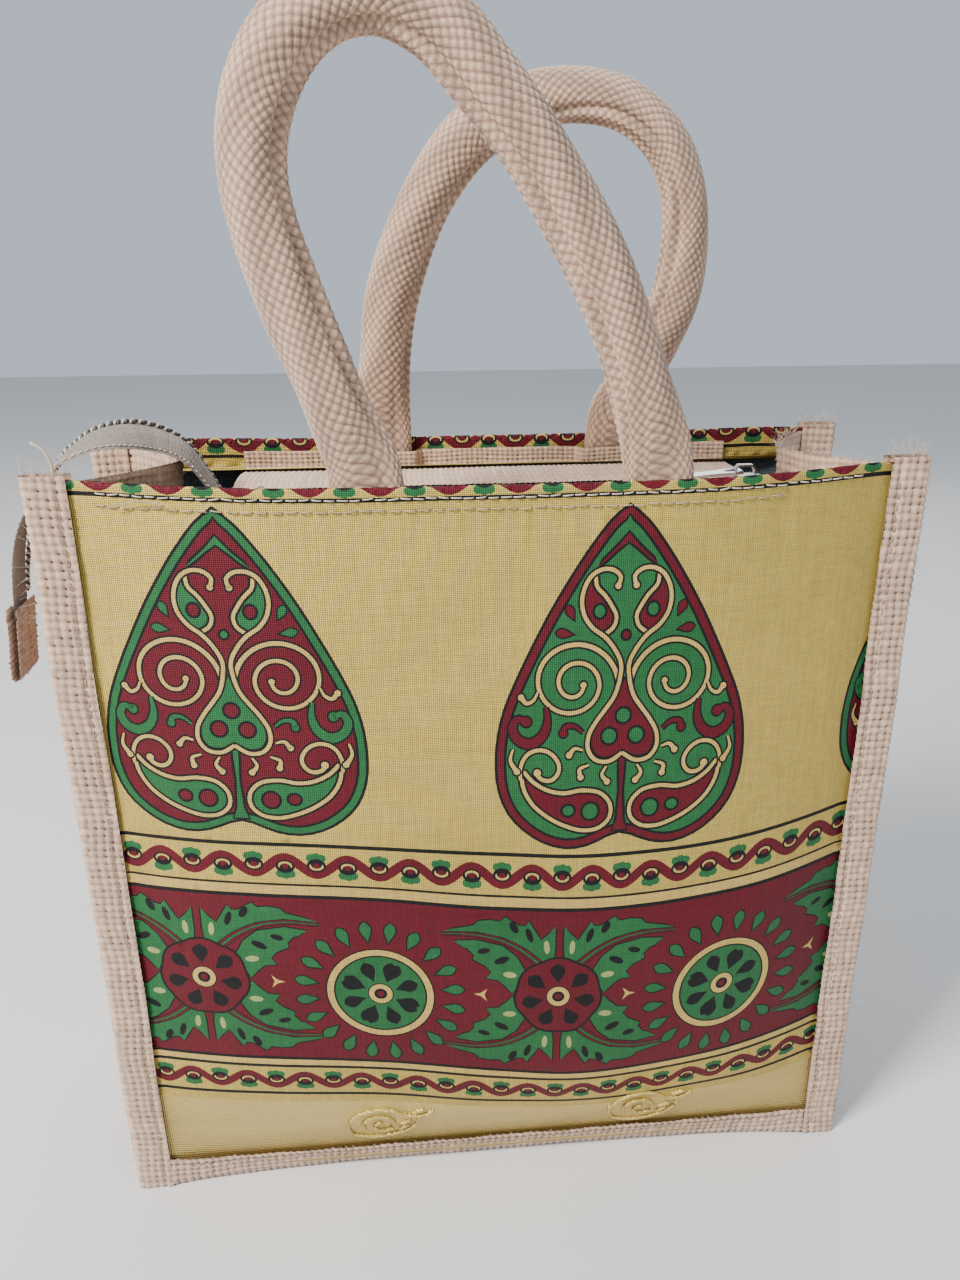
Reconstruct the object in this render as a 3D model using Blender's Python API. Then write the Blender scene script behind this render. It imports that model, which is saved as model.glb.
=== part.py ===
"""Zipped jute gift bag: two printed panels, folding gussets, bound seams, two padded handles, recessed zip.

Frame: metres, +Z up, the front panel faces -Y, origin at the centre of the underside of the base.
Fabric layers are solids of their own, kept LAYER_GAP apart. A layer's place is given by how far it lies
inward of the outermost surface of its face.
"""

import functools
import math

import bmesh
import bpy
import numpy as np
from mathutils import Matrix, Vector

# Bag body
BAG_WIDTH = 0.270
RIM_HEIGHT = 0.266
MOUTH_DEPTH = 0.072
BASE_DEPTH = 0.092
BINDING_WIDTH = 0.013
BINDING_THICKNESS = 0.0008
SEAM_X = BAG_WIDTH / 2 - BINDING_WIDTH
LAYER_GAP = 0.0003
FLOOR_GAP = 0.0006
# Start of the bindings along the cloth, so that the inner edge of their leaning section stays off the floor
FLOOR_LIFT = 0.00025

# How far a face stands out of the plane through its side seams, by height: tucked under at the base, full above
BULGE_BY_HEIGHT = [
    (0.000, -0.0045),
    (0.012, 0.000),
    (0.035, 0.008),
    (0.080, 0.013),
    (0.150, 0.014),
    (0.220, 0.011),
    (0.280, 0.009),
]
BULGE_FADE_POWER = 4

# Fabric layers of a face, outermost first
PANEL_THICKNESS = 0.0005
LINING_THICKNESS = 0.0004
GUSSET_THICKNESS = 0.0007
PANEL_INSET = BINDING_THICKNESS + LAYER_GAP
LINING_INSET = PANEL_INSET + PANEL_THICKNESS + LAYER_GAP
HEM_INSET = LINING_INSET + LINING_THICKNESS + LAYER_GAP
GUSSET_INSET = HEM_INSET + PANEL_THICKNESS + LAYER_GAP
BINDING_BACK_INSET = GUSSET_INSET + GUSSET_THICKNESS + LAYER_GAP
LAYER_EDGE_X = BAG_WIDTH / 2 - 0.0035
LAYER_BOTTOM = 0.0026
FACE_END_X = SEAM_X - 0.0017
# Where every layer of a face is cut into strips and rows, so that the layers stay parallel
FACE_STATIONS = [-FACE_END_X, -0.112, -0.097, -0.072, -0.037, 0.0, 0.037, 0.072, 0.097, 0.112, FACE_END_X]
LAYER_LENGTHS = (LAYER_BOTTOM, 0.0078, 0.013, 0.024, 0.044, 0.075, 0.115, 0.160, 0.205, 0.240)
HEM_DEPTH = 0.0115

# Gussets and base
FOLD_DEPTH_AT_RIM = {"left": 0.0255, "right": 0.0215}
FOLD_GROWTH_POWER = 1.25
GUSSET_TOP = RIM_HEIGHT - 0.0015
BASE_FLAT_HALF_DEPTH = 0.026

# Handles: centre line of each loop as (x, height), from its left foot to its right foot
HANDLE_LINES = {
    "front": [
        (-0.0372, 0.2640), (-0.0380, 0.2690), (-0.0435, 0.2822), (-0.0487, 0.2957), (-0.0527, 0.3060),
        (-0.0569, 0.3185), (-0.0605, 0.3304), (-0.0625, 0.3420), (-0.0619, 0.3531), (-0.0573, 0.3660),
        (-0.0499, 0.3755), (-0.0400, 0.3817), (-0.0281, 0.3833), (-0.0163, 0.3790), (-0.0018, 0.3645),
        (0.0110, 0.3490), (0.0219, 0.3327), (0.0337, 0.3103), (0.0420, 0.2890), (0.0475, 0.2700),
        (0.0482, 0.2640),
    ],
    "back": [
        (-0.0331, 0.2640), (-0.0330, 0.2700), (-0.0314, 0.2907), (-0.0285, 0.3109), (-0.0226, 0.3287),
        (-0.0136, 0.3459), (0.0002, 0.3625), (0.0169, 0.3715), (0.0336, 0.3745), (0.0506, 0.3717),
        (0.0650, 0.3614), (0.0731, 0.3460), (0.0753, 0.3301), (0.0728, 0.3102), (0.0674, 0.2965),
        (0.0590, 0.2806), (0.0535, 0.2700), (0.0529, 0.2640),
    ],
}
HANDLE_FEET = {"front": (-0.0372, 0.0482), "back": (-0.0331, 0.0529)}
HANDLE_HALF_WIDTH = 0.0085
HANDLE_HALF_DEPTH = 0.0070
HANDLE_WALL = 0.0016
HANDLE_STATIONS = 25
FOOT_HALF_WIDTH = 0.0104
FOOT_HALF_DEPTH = 0.0024
FOOT_LENGTH = 0.034
FOOT_INSET = 0.0056
FOOT_FRONT_RISE = 0.0010
FOOT_BACK_RISE = 0.0021
HANDLE_AXIS_ABOVE_RIM = 0.0012
HANDLE_AXIS_OUTSIDE_RIM = 0.0012
TAB_THICKNESS = 0.0028
TAB_BOTTOM = 0.247
# Ring of a handle section as (angle in degrees, share of the radius); the seam ridge is at 180
HANDLE_RING = [
    (0, 1.0), (35, 1.0), (70, 1.0), (105, 1.0), (135, 1.0), (152, 0.93), (166, 1.13), (180, 1.08),
    (194, 1.13), (208, 0.93), (225, 1.0), (255, 1.0), (290, 1.0), (325, 1.0),
]

# Closure flaps
FLAP_LEFT = -0.0835
FLAP_RIGHT = 0.095
FLAP_HEIGHT = 0.2525
FLAP_THICKNESS = 0.0011
FLAP_HINGE_Y = 0.0370
FLAP_INNER_Y = 0.0065
FLAP_CROWN = 0.0008
BAND_BOTTOM = 0.2542
BAND_TOP = 0.2615
BAND_OVER_TAB_EASE = 0.004

# Zip, along X with its teeth either side of y = 0
TAPE_THICKNESS = 0.0006
TAPE_HALF_WIDTH = 0.0140
TAPE_EDGE_Y = 0.0013
TAPE_TOP = FLAP_HEIGHT - FLAP_THICKNESS / 2 - LAYER_GAP
SHORT_TAPE_HALF_WIDTH = 0.0059
COIL_INNER_Y = 0.0007
COIL_OUTER_Y = 0.0023
COIL_HEIGHT = 0.0016
MOVING_ZIP_LEFT = -0.060
MOVING_ZIP_RIGHT = 0.083
ZIP_BOTTOM_LEFT = -0.0860
ZIP_HEAD_RIGHT = 0.0965
SLIDER_CENTRE_X = 0.0895
SLIDER_LENGTH = 0.011
SLIDER_HALF_WIDTH = 0.0043
SLIDER_PLATE = 0.0012
SLIDER_WEB_HALF = 0.0004
SLIDER_LIP = 0.0007
SLIDER_CLEARANCE = 0.00035
PULL_AXIS_X = SLIDER_CENTRE_X - 0.0020
PULL_LENGTH = 0.0175
PULL_SLOPE_DEG = 5.0

# Free end of the zip: an arch over the left gusset, then a hanging length that ends in a fabric tab
TAIL_WIDTH = 0.013
TAIL_THICKNESS = 0.0016
TAIL_COIL_RADIUS = 0.0009
TAIL_ARCH = [
    (-0.0868, 0.0000, 0.2522), (-0.0905, -0.0005, 0.2590), (-0.0965, -0.0020, 0.2680),
    (-0.1045, -0.0060, 0.2727), (-0.1130, -0.0130, 0.2738), (-0.1215, -0.0205, 0.2715),
    (-0.1257, -0.0227, 0.2695),
]
TAIL_DROP = [
    (-0.1283, -0.0234, 0.2674), (-0.1335, -0.0232, 0.2615), (-0.1385, -0.0228, 0.2530),
    (-0.1425, -0.0224, 0.2430), (-0.1452, -0.0220, 0.2330), (-0.1465, -0.0220, 0.2215),
]
TAIL_TILT_DEG = {"start": 0.0, "crest": 24.0, "end": 6.0}
TAB_LENGTH = 0.024
TAB_WIDTH = 0.017


def clear_scene():
    for old in list(bpy.data.objects):
        bpy.data.objects.remove(old, do_unlink=True)


def make_material(name, colour, roughness, metallic=0.0):
    material = bpy.data.materials.new(name)
    material.use_nodes = True
    shader = material.node_tree.nodes["Principled BSDF"]
    shader.inputs["Base Color"].default_value = (*colour, 1.0)
    shader.inputs["Roughness"].default_value = roughness
    shader.inputs["Metallic"].default_value = metallic
    return material


def make_materials():
    return {
        "brocade": make_material("brocade", (0.62, 0.44, 0.17), 0.55),
        "lining": make_material("lining", (0.22, 0.27, 0.30), 0.85),
        "jute": make_material("jute", (0.56, 0.43, 0.31), 0.90),
        "webbing": make_material("webbing", (0.60, 0.46, 0.34), 0.90),
        "filler": make_material("filler", (0.80, 0.78, 0.72), 0.95),
        "tape": make_material("tape", (0.42, 0.37, 0.33), 0.80),
        "coil": make_material("coil", (0.05, 0.05, 0.05), 0.45),
        "metal": make_material("metal", (0.75, 0.75, 0.77), 0.25, 1.0),
    }


def smooth_curve(knots, position):
    """Value at a position on a smooth curve through (position, value) knots."""
    places = np.array([knot[0] for knot in knots])
    values = np.array([knot[1] for knot in knots])
    slopes = np.gradient(values, places)
    position = np.clip(position, places[0], places[-1])
    index = np.clip(np.searchsorted(places, position) - 1, 0, len(places) - 2)
    span = places[index + 1] - places[index]
    t = (position - places[index]) / span
    start = (1 + 2 * t) * (1 - t) ** 2 * values[index] + t * (1 - t) ** 2 * span * slopes[index]
    end = t**2 * (3 - 2 * t) * values[index + 1] + t**2 * (t - 1) * span * slopes[index + 1]
    return start + end


def smooth_line(points, count):
    """Evenly spaced points on a smooth line through the given points."""
    points = np.array(points)
    steps = np.linalg.norm(np.diff(points, axis=0), axis=1)
    along = np.concatenate([[0.0], np.cumsum(steps)])
    fine = np.linspace(0.0, along[-1], count)
    columns = [smooth_curve(list(zip(along, column)), fine) for column in points.T]
    return np.stack(columns, axis=1)


@functools.lru_cache(maxsize=None)
def face_profile(x):
    """Cloth length from the bottom edge, distance out from the middle plane, and height, for a face at this x."""
    fullness = max(0.0, 1 - abs(x / SEAM_X) ** BULGE_FADE_POWER)
    height = np.linspace(0.0, RIM_HEIGHT * 1.05, 400)
    lean = BASE_DEPTH / 2 + (MOUTH_DEPTH - BASE_DEPTH) / 2 * height / RIM_HEIGHT
    out = lean + fullness * smooth_curve(BULGE_BY_HEIGHT, height)
    length = np.concatenate([[0.0], np.cumsum(np.hypot(np.diff(out), np.diff(height)))])
    return length, out, height


def face_point(side, x, length, inset):
    """A point of a face: side is -1 for the front and 1 for the back, inset is measured inward along the normal."""
    lengths, outs, heights = face_profile(round(x, 6))
    step = 0.0005
    before, after = max(length - step, 0.0), length + step
    d_out = np.interp(after, lengths, outs) - np.interp(before, lengths, outs)
    d_height = np.interp(after, lengths, heights) - np.interp(before, lengths, heights)
    norm = math.hypot(d_out, d_height)
    out = np.interp(length, lengths, outs) - inset * d_height / norm
    height = np.interp(length, lengths, heights) + inset * d_out / norm
    return Vector((x, side * out, height))


def add_mesh(name, points, faces, material):
    """One closed mesh object, its faces turned to face out."""
    mesh = bpy.data.meshes.new(name)
    mesh.from_pydata([tuple(point) for point in points], [], faces)
    tidy = bmesh.new()
    tidy.from_mesh(mesh)
    bmesh.ops.recalc_face_normals(tidy, faces=tidy.faces)
    tidy.to_mesh(mesh)
    tidy.free()
    mesh.materials.append(material)
    obj = bpy.data.objects.new(name, mesh)
    bpy.context.scene.collection.objects.link(obj)
    return obj


def split_quad(grid, row, column):
    """Cuts a grid's quad along the diagonal that stands further out in Y, so that parallel layers are cut alike."""
    main = abs(grid[row][column][1] + grid[row + 1][column + 1][1])
    cross = abs(grid[row][column + 1][1] + grid[row + 1][column][1])
    if main >= cross:
        return ((0, 0), (0, 1), (1, 1)), ((0, 0), (1, 1), (1, 0))
    return ((0, 0), (0, 1), (1, 0)), ((0, 1), (1, 1), (1, 0))


def sheet_solid(name, near, far, material):
    """A sheet with thickness, between two matching grids of points."""
    rows, columns = len(near), len(near[0])
    points = [point for row in near for point in row] + [point for row in far for point in row]
    offset = rows * columns
    faces = []
    for row in range(rows - 1):
        for column in range(columns - 1):
            corner = row * columns + column
            for triangle in split_quad(near, row, column):
                indices = [corner + down * columns + across for down, across in triangle]
                faces.append(tuple(indices))
                faces.append(tuple(offset + index for index in reversed(indices)))
    border = list(range(columns))
    border += [row * columns + columns - 1 for row in range(1, rows)]
    border += [(rows - 1) * columns + column for column in reversed(range(columns - 1))]
    border += [row * columns for row in reversed(range(1, rows - 1))]
    for here, there in zip(border, border[1:] + border[:1]):
        faces.append((there, here, offset + here, offset + there))
    return add_mesh(name, points, faces, material)


def offset_path(path, thickness):
    """The two edges of a 2-D path that has thickness."""
    left, right = [], []
    for index, (u, v) in enumerate(path):
        before = path[max(index - 1, 0)]
        after = path[min(index + 1, len(path) - 1)]
        run, rise = after[0] - before[0], after[1] - before[1]
        scale = thickness / 2 / math.hypot(run, rise)
        left.append((u - rise * scale, v + run * scale))
        right.append((u + rise * scale, v - run * scale))
    return left, right


def thick_strip(name, stations, path_of, place, thickness, material):
    """A folded sheet: at each station a 2-D path with thickness, put in space by place(station, u, v)."""
    near, far = [], []
    for station in stations:
        left, right = offset_path(path_of(station), thickness)
        near.append([place(station, u, v) for u, v in left])
        far.append([place(station, u, v) for u, v in right])
    return sheet_solid(name, near, far, material)


def ring_solid(name, rings, material):
    """A solid with flat ends, skinned over rings that have the same number of points."""
    count = len(rings[0])
    points = [point for ring in rings for point in ring]
    faces = []
    for ring in range(len(rings) - 1):
        for index in range(count):
            here, there = ring * count + index, ring * count + (index + 1) % count
            faces.append((here, there, there + count, here + count))
    faces.append(tuple(reversed(range(count))))
    faces.append(tuple((len(rings) - 1) * count + index for index in range(count)))
    return add_mesh(name, points, faces, material)


def tube_solid(name, outer, inner, material):
    """A tube with open ends, between matching outer and inner rings."""
    stations, count = len(outer), len(outer[0])
    points = [point for ring in outer for point in ring] + [point for ring in inner for point in ring]
    offset = stations * count
    faces = []
    for ring in range(stations - 1):
        for index in range(count):
            here, there = ring * count + index, ring * count + (index + 1) % count
            quad = (here, there, there + count, here + count)
            faces.append(quad)
            faces.append(tuple(offset + corner for corner in reversed(quad)))
    for ring in (0, stations - 1):
        for index in range(count):
            here, there = ring * count + index, ring * count + (index + 1) % count
            quad = (here, there, offset + there, offset + here)
            faces.append(quad if ring else tuple(reversed(quad)))
    return add_mesh(name, points, faces, material)


def box_solid(name, low, high, material):
    corners = [(x, y, z) for z in (low[2], high[2]) for y in (low[1], high[1]) for x in (low[0], high[0])]
    faces = [(0, 2, 3, 1), (4, 5, 7, 6), (0, 1, 5, 4), (2, 6, 7, 3), (0, 4, 6, 2), (1, 3, 7, 5)]
    return add_mesh(name, corners, faces, material)


def spaced(start, end, count):
    return [float(value) for value in np.linspace(start, end, count)]


def arc_points(centre, radius, start_deg, end_deg, count):
    angles = np.radians(np.linspace(start_deg, end_deg, count))
    return [(centre[0] + radius * math.cos(a), centre[1] + radius * math.sin(a)) for a in angles]


def binding_path(open_at, shut_at):
    """Section of a folded binding strip in (distance, inset), round at its shut end."""
    middle = (BINDING_BACK_INSET + BINDING_THICKNESS) / 2
    radius = middle - BINDING_THICKNESS / 2
    turn = 1.0 if shut_at > open_at else -1.0
    centre = shut_at - turn * middle
    halfway = (open_at + centre) / 2
    bend = arc_points((0.0, middle), radius, -90, 90, 5)
    near = [(open_at, middle - radius), (halfway, middle - radius)]
    far = [(halfway, middle + radius), (open_at, middle + radius)]
    return near + [(centre + turn * along, inset) for along, inset in bend] + far


def make_panel(side_name, side, material):
    """Printed panel, its top turned over the rim and down inside as a hem."""
    outer = PANEL_INSET + PANEL_THICKNESS / 2
    hem = HEM_INSET + PANEL_THICKNESS / 2
    middle, radius = (outer + hem) / 2, (hem - outer) / 2
    fold = RIM_HEIGHT - PANEL_THICKNESS / 2 - radius
    rise = [(length, outer) for length in (*LAYER_LENGTHS, fold)]
    bend = arc_points((fold, middle), radius, -60, 60, 3)
    path = rise + bend + [(fold, hem), (RIM_HEIGHT - HEM_DEPTH, hem)]
    return thick_strip(
        f"{side_name}_panel",
        [-LAYER_EDGE_X, -SEAM_X, *FACE_STATIONS, SEAM_X, LAYER_EDGE_X],
        lambda x: path,
        lambda x, length, inset: face_point(side, x, length, inset),
        PANEL_THICKNESS,
        material,
    )


def make_lining(side_name, side, material):
    inset = LINING_INSET + LINING_THICKNESS / 2
    path = [(length, inset) for length in (*LAYER_LENGTHS, RIM_HEIGHT - 0.0022)]
    return thick_strip(
        f"{side_name}_lining",
        [-LAYER_EDGE_X, -SEAM_X, *FACE_STATIONS, SEAM_X, LAYER_EDGE_X],
        lambda x: path,
        lambda x, length, depth: face_point(side, x, length, depth),
        LINING_THICKNESS,
        material,
    )


def make_side_binding(side_name, side, hand_name, hand, material):
    """Folded strip over the upright edge where a panel meets a gusset."""
    path = [(hand * x, inset) for x, inset in binding_path(SEAM_X, BAG_WIDTH / 2)]
    return thick_strip(
        f"{side_name}_{hand_name}_binding",
        [FLOOR_LIFT, 0.030, 0.090, 0.150, 0.210, RIM_HEIGHT + 0.0012],
        lambda length: path,
        lambda length, x, inset: face_point(side, x, length, inset),
        BINDING_THICKNESS,
        material,
    )


def make_bottom_binding(side_name, side, material):
    """Folded strip over the lower edge where a panel meets the base."""
    path = binding_path(BINDING_WIDTH, FLOOR_LIFT)
    return thick_strip(
        f"{side_name}_bottom_binding",
        FACE_STATIONS,
        lambda x: path,
        lambda x, length, inset: face_point(side, x, length, inset),
        BINDING_THICKNESS,
        material,
    )


def gusset_path(length, hand, fold_at_rim):
    """Plan of a gusset at this height: a flange in the front seam, the folded wall, a flange in the back seam."""
    half_depth = -face_point(-1, SEAM_X, length, GUSSET_INSET + GUSSET_THICKNESS / 2).y
    fold = fold_at_rim * (length / RIM_HEIGHT) ** FOLD_GROWTH_POWER
    wall_x = SEAM_X - 0.0010
    wall_start = (wall_x, half_depth - 0.0022)
    half = [(LAYER_EDGE_X, half_depth), (SEAM_X + 0.0010, half_depth), (SEAM_X - 0.0002, half_depth - 0.0001)]
    half += [(wall_x + 0.0001, half_depth - 0.0007), wall_start]
    for share in (0.33, 0.66, 0.92):
        ease = share + 0.10 * math.sin(math.pi * share)
        half.append((wall_x - fold * ease, wall_start[1] * (1 - share)))
    front = [(hand * x, -y) for x, y in half]
    back = [(hand * x, y) for x, y in reversed(half)]
    return front + [(hand * (wall_x - fold), 0.0)] + back


def make_gusset(hand_name, hand, material):
    """Side wall between the panels, folded inward more and more towards the rim."""
    fold = FOLD_DEPTH_AT_RIM[hand_name]
    return thick_strip(
        f"{hand_name}_gusset",
        [FLOOR_GAP, 0.020, 0.060, 0.105, 0.155, 0.205, 0.240, GUSSET_TOP],
        lambda length: gusset_path(length, hand, fold),
        lambda length, x, y: Vector((x, y, length)),
        GUSSET_THICKNESS,
        material,
    )


def base_path(x):
    """Section of the base: up out of one seam, over the binding, down to the flat, and the same at the other."""
    inset = GUSSET_INSET + GUSSET_THICKNESS / 2
    seam = [(LAYER_BOTTOM, inset), (0.0085, inset), (BINDING_WIDTH + 0.0004, inset)]
    seam += [(BINDING_WIDTH + 0.0011, inset + 0.0007), (BINDING_WIDTH + 0.0008, inset + 0.0019)]
    points = [face_point(1, x, length, depth) for length, depth in seam]
    half = [(point.y, point.z) for point in points]
    top_y, top_z = half[-1]
    floor = GUSSET_THICKNESS / 2
    for share, drop in ((0.30, 0.42), (0.62, 0.80), (1.0, 1.0)):
        y = top_y + (BASE_FLAT_HALF_DEPTH - top_y) * share
        half.append((y, top_z + (floor - top_z) * drop))
    front = [(-y, z) for y, z in half]
    return front + [(0.0, floor)] + list(reversed(half))


def make_base(material):
    """Bottom panel, its underside flat on the ground between the two seams."""
    return thick_strip(
        "base_panel",
        FACE_STATIONS,
        base_path,
        lambda x, y, z: Vector((x, y, z)),
        GUSSET_THICKNESS,
        material,
    )


def handle_axis(side_name, side):
    """A point on the line that a handle swings about, just above and outside the rim."""
    left, right = HANDLE_FEET[side_name]
    rim = face_point(side, (left + right) / 2, RIM_HEIGHT, 0.0)
    out = side * (abs(rim.y) + HANDLE_AXIS_OUTSIDE_RIM)
    return Vector(((left + right) / 2, out, rim.z + HANDLE_AXIS_ABOVE_RIM))


def make_handle_tab(side_name, side, hand_name, foot_x, material):
    """Flat end of the handle webbing, sewn between the hem and the closure flap."""
    inset = HEM_INSET + PANEL_THICKNESS + LAYER_GAP + TAB_THICKNESS / 2
    rim_drop = RIM_HEIGHT - face_point(side, foot_x, RIM_HEIGHT, inset).z
    top = handle_axis(side_name, side).z + rim_drop - LAYER_GAP
    path = [(length, inset) for length in (TAB_BOTTOM, 0.256, RIM_HEIGHT, top)]
    return thick_strip(
        f"{side_name}_handle_tab_{hand_name}",
        spaced(foot_x - FOOT_HALF_WIDTH, foot_x + FOOT_HALF_WIDTH, 3),
        lambda x: path,
        lambda x, length, depth: face_point(side, x, length, depth),
        TAB_THICKNESS,
        material,
    )


def band_inset(side_name, x):
    """Inset of a flap's sewn band: against the hem, and lifted over the handle tabs."""
    flat = HEM_INSET + PANEL_THICKNESS + LAYER_GAP + FLAP_THICKNESS / 2
    lift = 0.0
    for foot_x in HANDLE_FEET[side_name]:
        beyond = abs(x - foot_x) - FOOT_HALF_WIDTH - LAYER_GAP
        lift = max(lift, 1 - max(beyond, 0.0) / BAND_OVER_TAB_EASE)
    return flat + max(lift, 0.0) * (TAB_THICKNESS + LAYER_GAP)


def make_flap_band(side_name, side, material):
    """Upright edge of a closure flap, sewn inside the rim."""
    stations = {FLAP_LEFT, FLAP_RIGHT, FLAP_LEFT + 0.016, 0.006, FLAP_RIGHT - 0.016}
    for foot_x in HANDLE_FEET[side_name]:
        reach = FOOT_HALF_WIDTH + LAYER_GAP
        for offset in (-reach - BAND_OVER_TAB_EASE, -reach, reach, reach + BAND_OVER_TAB_EASE):
            stations.add(foot_x + offset)
    return thick_strip(
        f"{side_name}_flap_band",
        sorted(stations),
        lambda x: [(length, band_inset(side_name, x)) for length in (BAND_BOTTOM, BAND_TOP)],
        lambda x, length, inset: face_point(side, x, length, inset),
        FLAP_THICKNESS,
        material,
    )


def make_flap(side_name, side, material):
    """Closure flap from its hinge line to the zip."""
    shares = (0.0, 0.25, 0.5, 0.75, 1.0)
    path = []
    for share in shares:
        y = FLAP_HINGE_Y + (FLAP_INNER_Y - FLAP_HINGE_Y) * share
        path.append((side * y, FLAP_HEIGHT + FLAP_CROWN * math.sin(math.pi * share)))
    return thick_strip(
        f"{side_name}_flap",
        spaced(FLAP_LEFT, FLAP_RIGHT, 4),
        lambda x: path,
        lambda x, y, z: Vector((x, y, z)),
        FLAP_THICKNESS,
        material,
    )


def make_flap_tape(side_name, side, material):
    low_y, high_y = sorted((side * TAPE_EDGE_Y, side * TAPE_HALF_WIDTH))
    low = (MOVING_ZIP_LEFT, low_y, TAPE_TOP - TAPE_THICKNESS)
    high = (MOVING_ZIP_RIGHT, high_y, TAPE_TOP)
    return box_solid(f"{side_name}_zip_tape", low, high, material)


def coil_section(side):
    """Rounded section of one row of teeth in (y, z), standing just above its tape."""
    middle_y = (COIL_INNER_Y + COIL_OUTER_Y) / 2
    middle_z = TAPE_TOP + LAYER_GAP + COIL_HEIGHT / 2
    half_y, half_z = (COIL_OUTER_Y - COIL_INNER_Y) / 2, COIL_HEIGHT / 2
    section = [(-1.0, -0.4), (-0.4, -1.0), (0.4, -1.0), (1.0, -0.4), (1.0, 0.4), (0.4, 1.0), (-0.4, 1.0), (-1.0, 0.4)]
    return [(side * (middle_y + u * half_y), middle_z + v * half_z) for u, v in section]


def extrude_section(name, section, places, material):
    """A section in (y, z) carried along X; places are (x, share of the section's width)."""
    rings = [[(x, y * share, z) for y, z in section] for x, share in places]
    return ring_solid(name, rings, material)


def make_flap_coil(side_name, side, material):
    places = [(MOVING_ZIP_LEFT, 1.0), (MOVING_ZIP_RIGHT, 1.0)]
    return extrude_section(f"{side_name}_zip_coil", coil_section(side), places, material)


def fixed_zip_section(side):
    """Tape and teeth in one, for the short lengths at the zip's ends."""
    low, high = TAPE_TOP - TAPE_THICKNESS, TAPE_TOP
    crest = TAPE_TOP + LAYER_GAP + COIL_HEIGHT
    outline = [(SHORT_TAPE_HALF_WIDTH, low), (SHORT_TAPE_HALF_WIDTH, high), (COIL_OUTER_Y, high)]
    outline += [(COIL_OUTER_Y, crest - 0.0004), (COIL_OUTER_Y - 0.0004, crest), (COIL_INNER_Y + 0.0004, crest)]
    outline += [(COIL_INNER_Y, crest - 0.0004), (COIL_INNER_Y, high), (TAPE_EDGE_Y, low)]
    return [(side * y, z) for y, z in outline]


def make_fixed_zip(name, side, left, right, material):
    return extrude_section(name, fixed_zip_section(side), [(left, 1.0), (right, 1.0)], material)


def make_top_stop(side_name, side, material):
    """Metal stop crimped over the end of one row of teeth."""
    low_y, high_y = sorted((side * COIL_INNER_Y, side * (COIL_OUTER_Y + 0.0004)))
    base = TAPE_TOP + LAYER_GAP + COIL_HEIGHT + LAYER_GAP
    left = SLIDER_CENTRE_X + SLIDER_LENGTH / 2 + 0.0004
    return box_solid(
        f"zip_top_stop_{side_name}", (left, low_y, base), (ZIP_HEAD_RIGHT, high_y, base + 0.0007), material
    )


def make_bottom_stop(material):
    """Metal clip over both rows of teeth, where the zip's free end begins."""
    base = TAPE_TOP + 2 * LAYER_GAP + COIL_HEIGHT
    right = MOVING_ZIP_LEFT - SLIDER_LENGTH - 0.0010
    return box_solid(
        "zip_bottom_stop", (right - 0.0022, -0.0028, base), (right, 0.0028, base + 0.0007), material
    )


def slider_levels():
    """Heights of the slider's underside, channel floor, lips, channel roof and top."""
    floor = TAPE_TOP - TAPE_THICKNESS - SLIDER_CLEARANCE
    roof = TAPE_TOP + LAYER_GAP + COIL_HEIGHT + SLIDER_CLEARANCE
    return floor - SLIDER_PLATE, floor, TAPE_TOP + SLIDER_CLEARANCE, roof, roof + SLIDER_PLATE


def make_slider(material):
    """Slider body: two plates joined by a web that runs between the rows of teeth."""
    under, floor, lip, roof, top = slider_levels()
    wide, web = SLIDER_HALF_WIDTH, SLIDER_WEB_HALF
    right = [(wide - 0.0005, under), (wide, under + 0.0004), (wide, floor), (web, floor), (web, roof)]
    right += [(wide - SLIDER_LIP, roof), (wide - SLIDER_LIP, lip), (wide, lip), (wide, top - 0.0005)]
    right += [(wide - 0.0008, top)]
    section = right + [(-y, z) for y, z in reversed(right)]
    start = SLIDER_CENTRE_X - SLIDER_LENGTH / 2
    places = [(start, 1.0), (start + SLIDER_LENGTH, 1.0)]
    return extrude_section("zip_slider", section, places, material)


def make_slider_bridge(material):
    """Arched strap on top of the slider that the pull hangs on."""
    top = slider_levels()[-1] + LAYER_GAP
    reach, rise, strap = 0.0038, 0.0030, 0.0008
    left = SLIDER_CENTRE_X - reach
    path = [(left, top), (left + 0.0002, top + 0.0016), (left + 0.0014, top + rise)]
    path += [(2 * SLIDER_CENTRE_X - x, z) for x, z in reversed(path)]
    return thick_strip(
        "zip_slider_bridge",
        [-0.0011, 0.0011],
        lambda y: path,
        lambda y, x, z: Vector((x, y, z)),
        strap,
        material,
    )


def pull_axis():
    """Middle of the pull's crossbar, under the slider's bridge."""
    return Vector((PULL_AXIS_X, 0.0, slider_levels()[-1] + LAYER_GAP + 0.0011))


def make_pull(material):
    """Flat tapered pull with an eye at the slider end and a slot at the finger end."""
    outline = [(0.0007, 0.0030), (-0.0020, 0.0033), (-0.0060, 0.0030), (-0.0105, 0.0024), (-0.0150, 0.0029)]
    outline += [(-PULL_LENGTH, 0.0017)]
    eye = [(-0.0007, 0.0018), (-0.0018, 0.0021), (-0.0028, 0.0020), (-0.0038, 0.0017), (-0.0047, 0.0012)]
    eye += [(-0.0052, 0.0005)]
    outer = outline + [(u, -v) for u, v in reversed(outline)]
    inner = eye + [(u, -v) for u, v in reversed(eye)]
    axis = pull_axis()
    turn = Matrix.Rotation(math.radians(-PULL_SLOPE_DEG), 3, "Y")
    rings = []
    for loop in (outer, inner):
        rings.append([[axis + turn @ Vector((u, v, level)) for u, v in loop] for level in (-0.0005, 0.0005)])
    return tube_solid("zip_pull", rings[0], rings[1], material)


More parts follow.
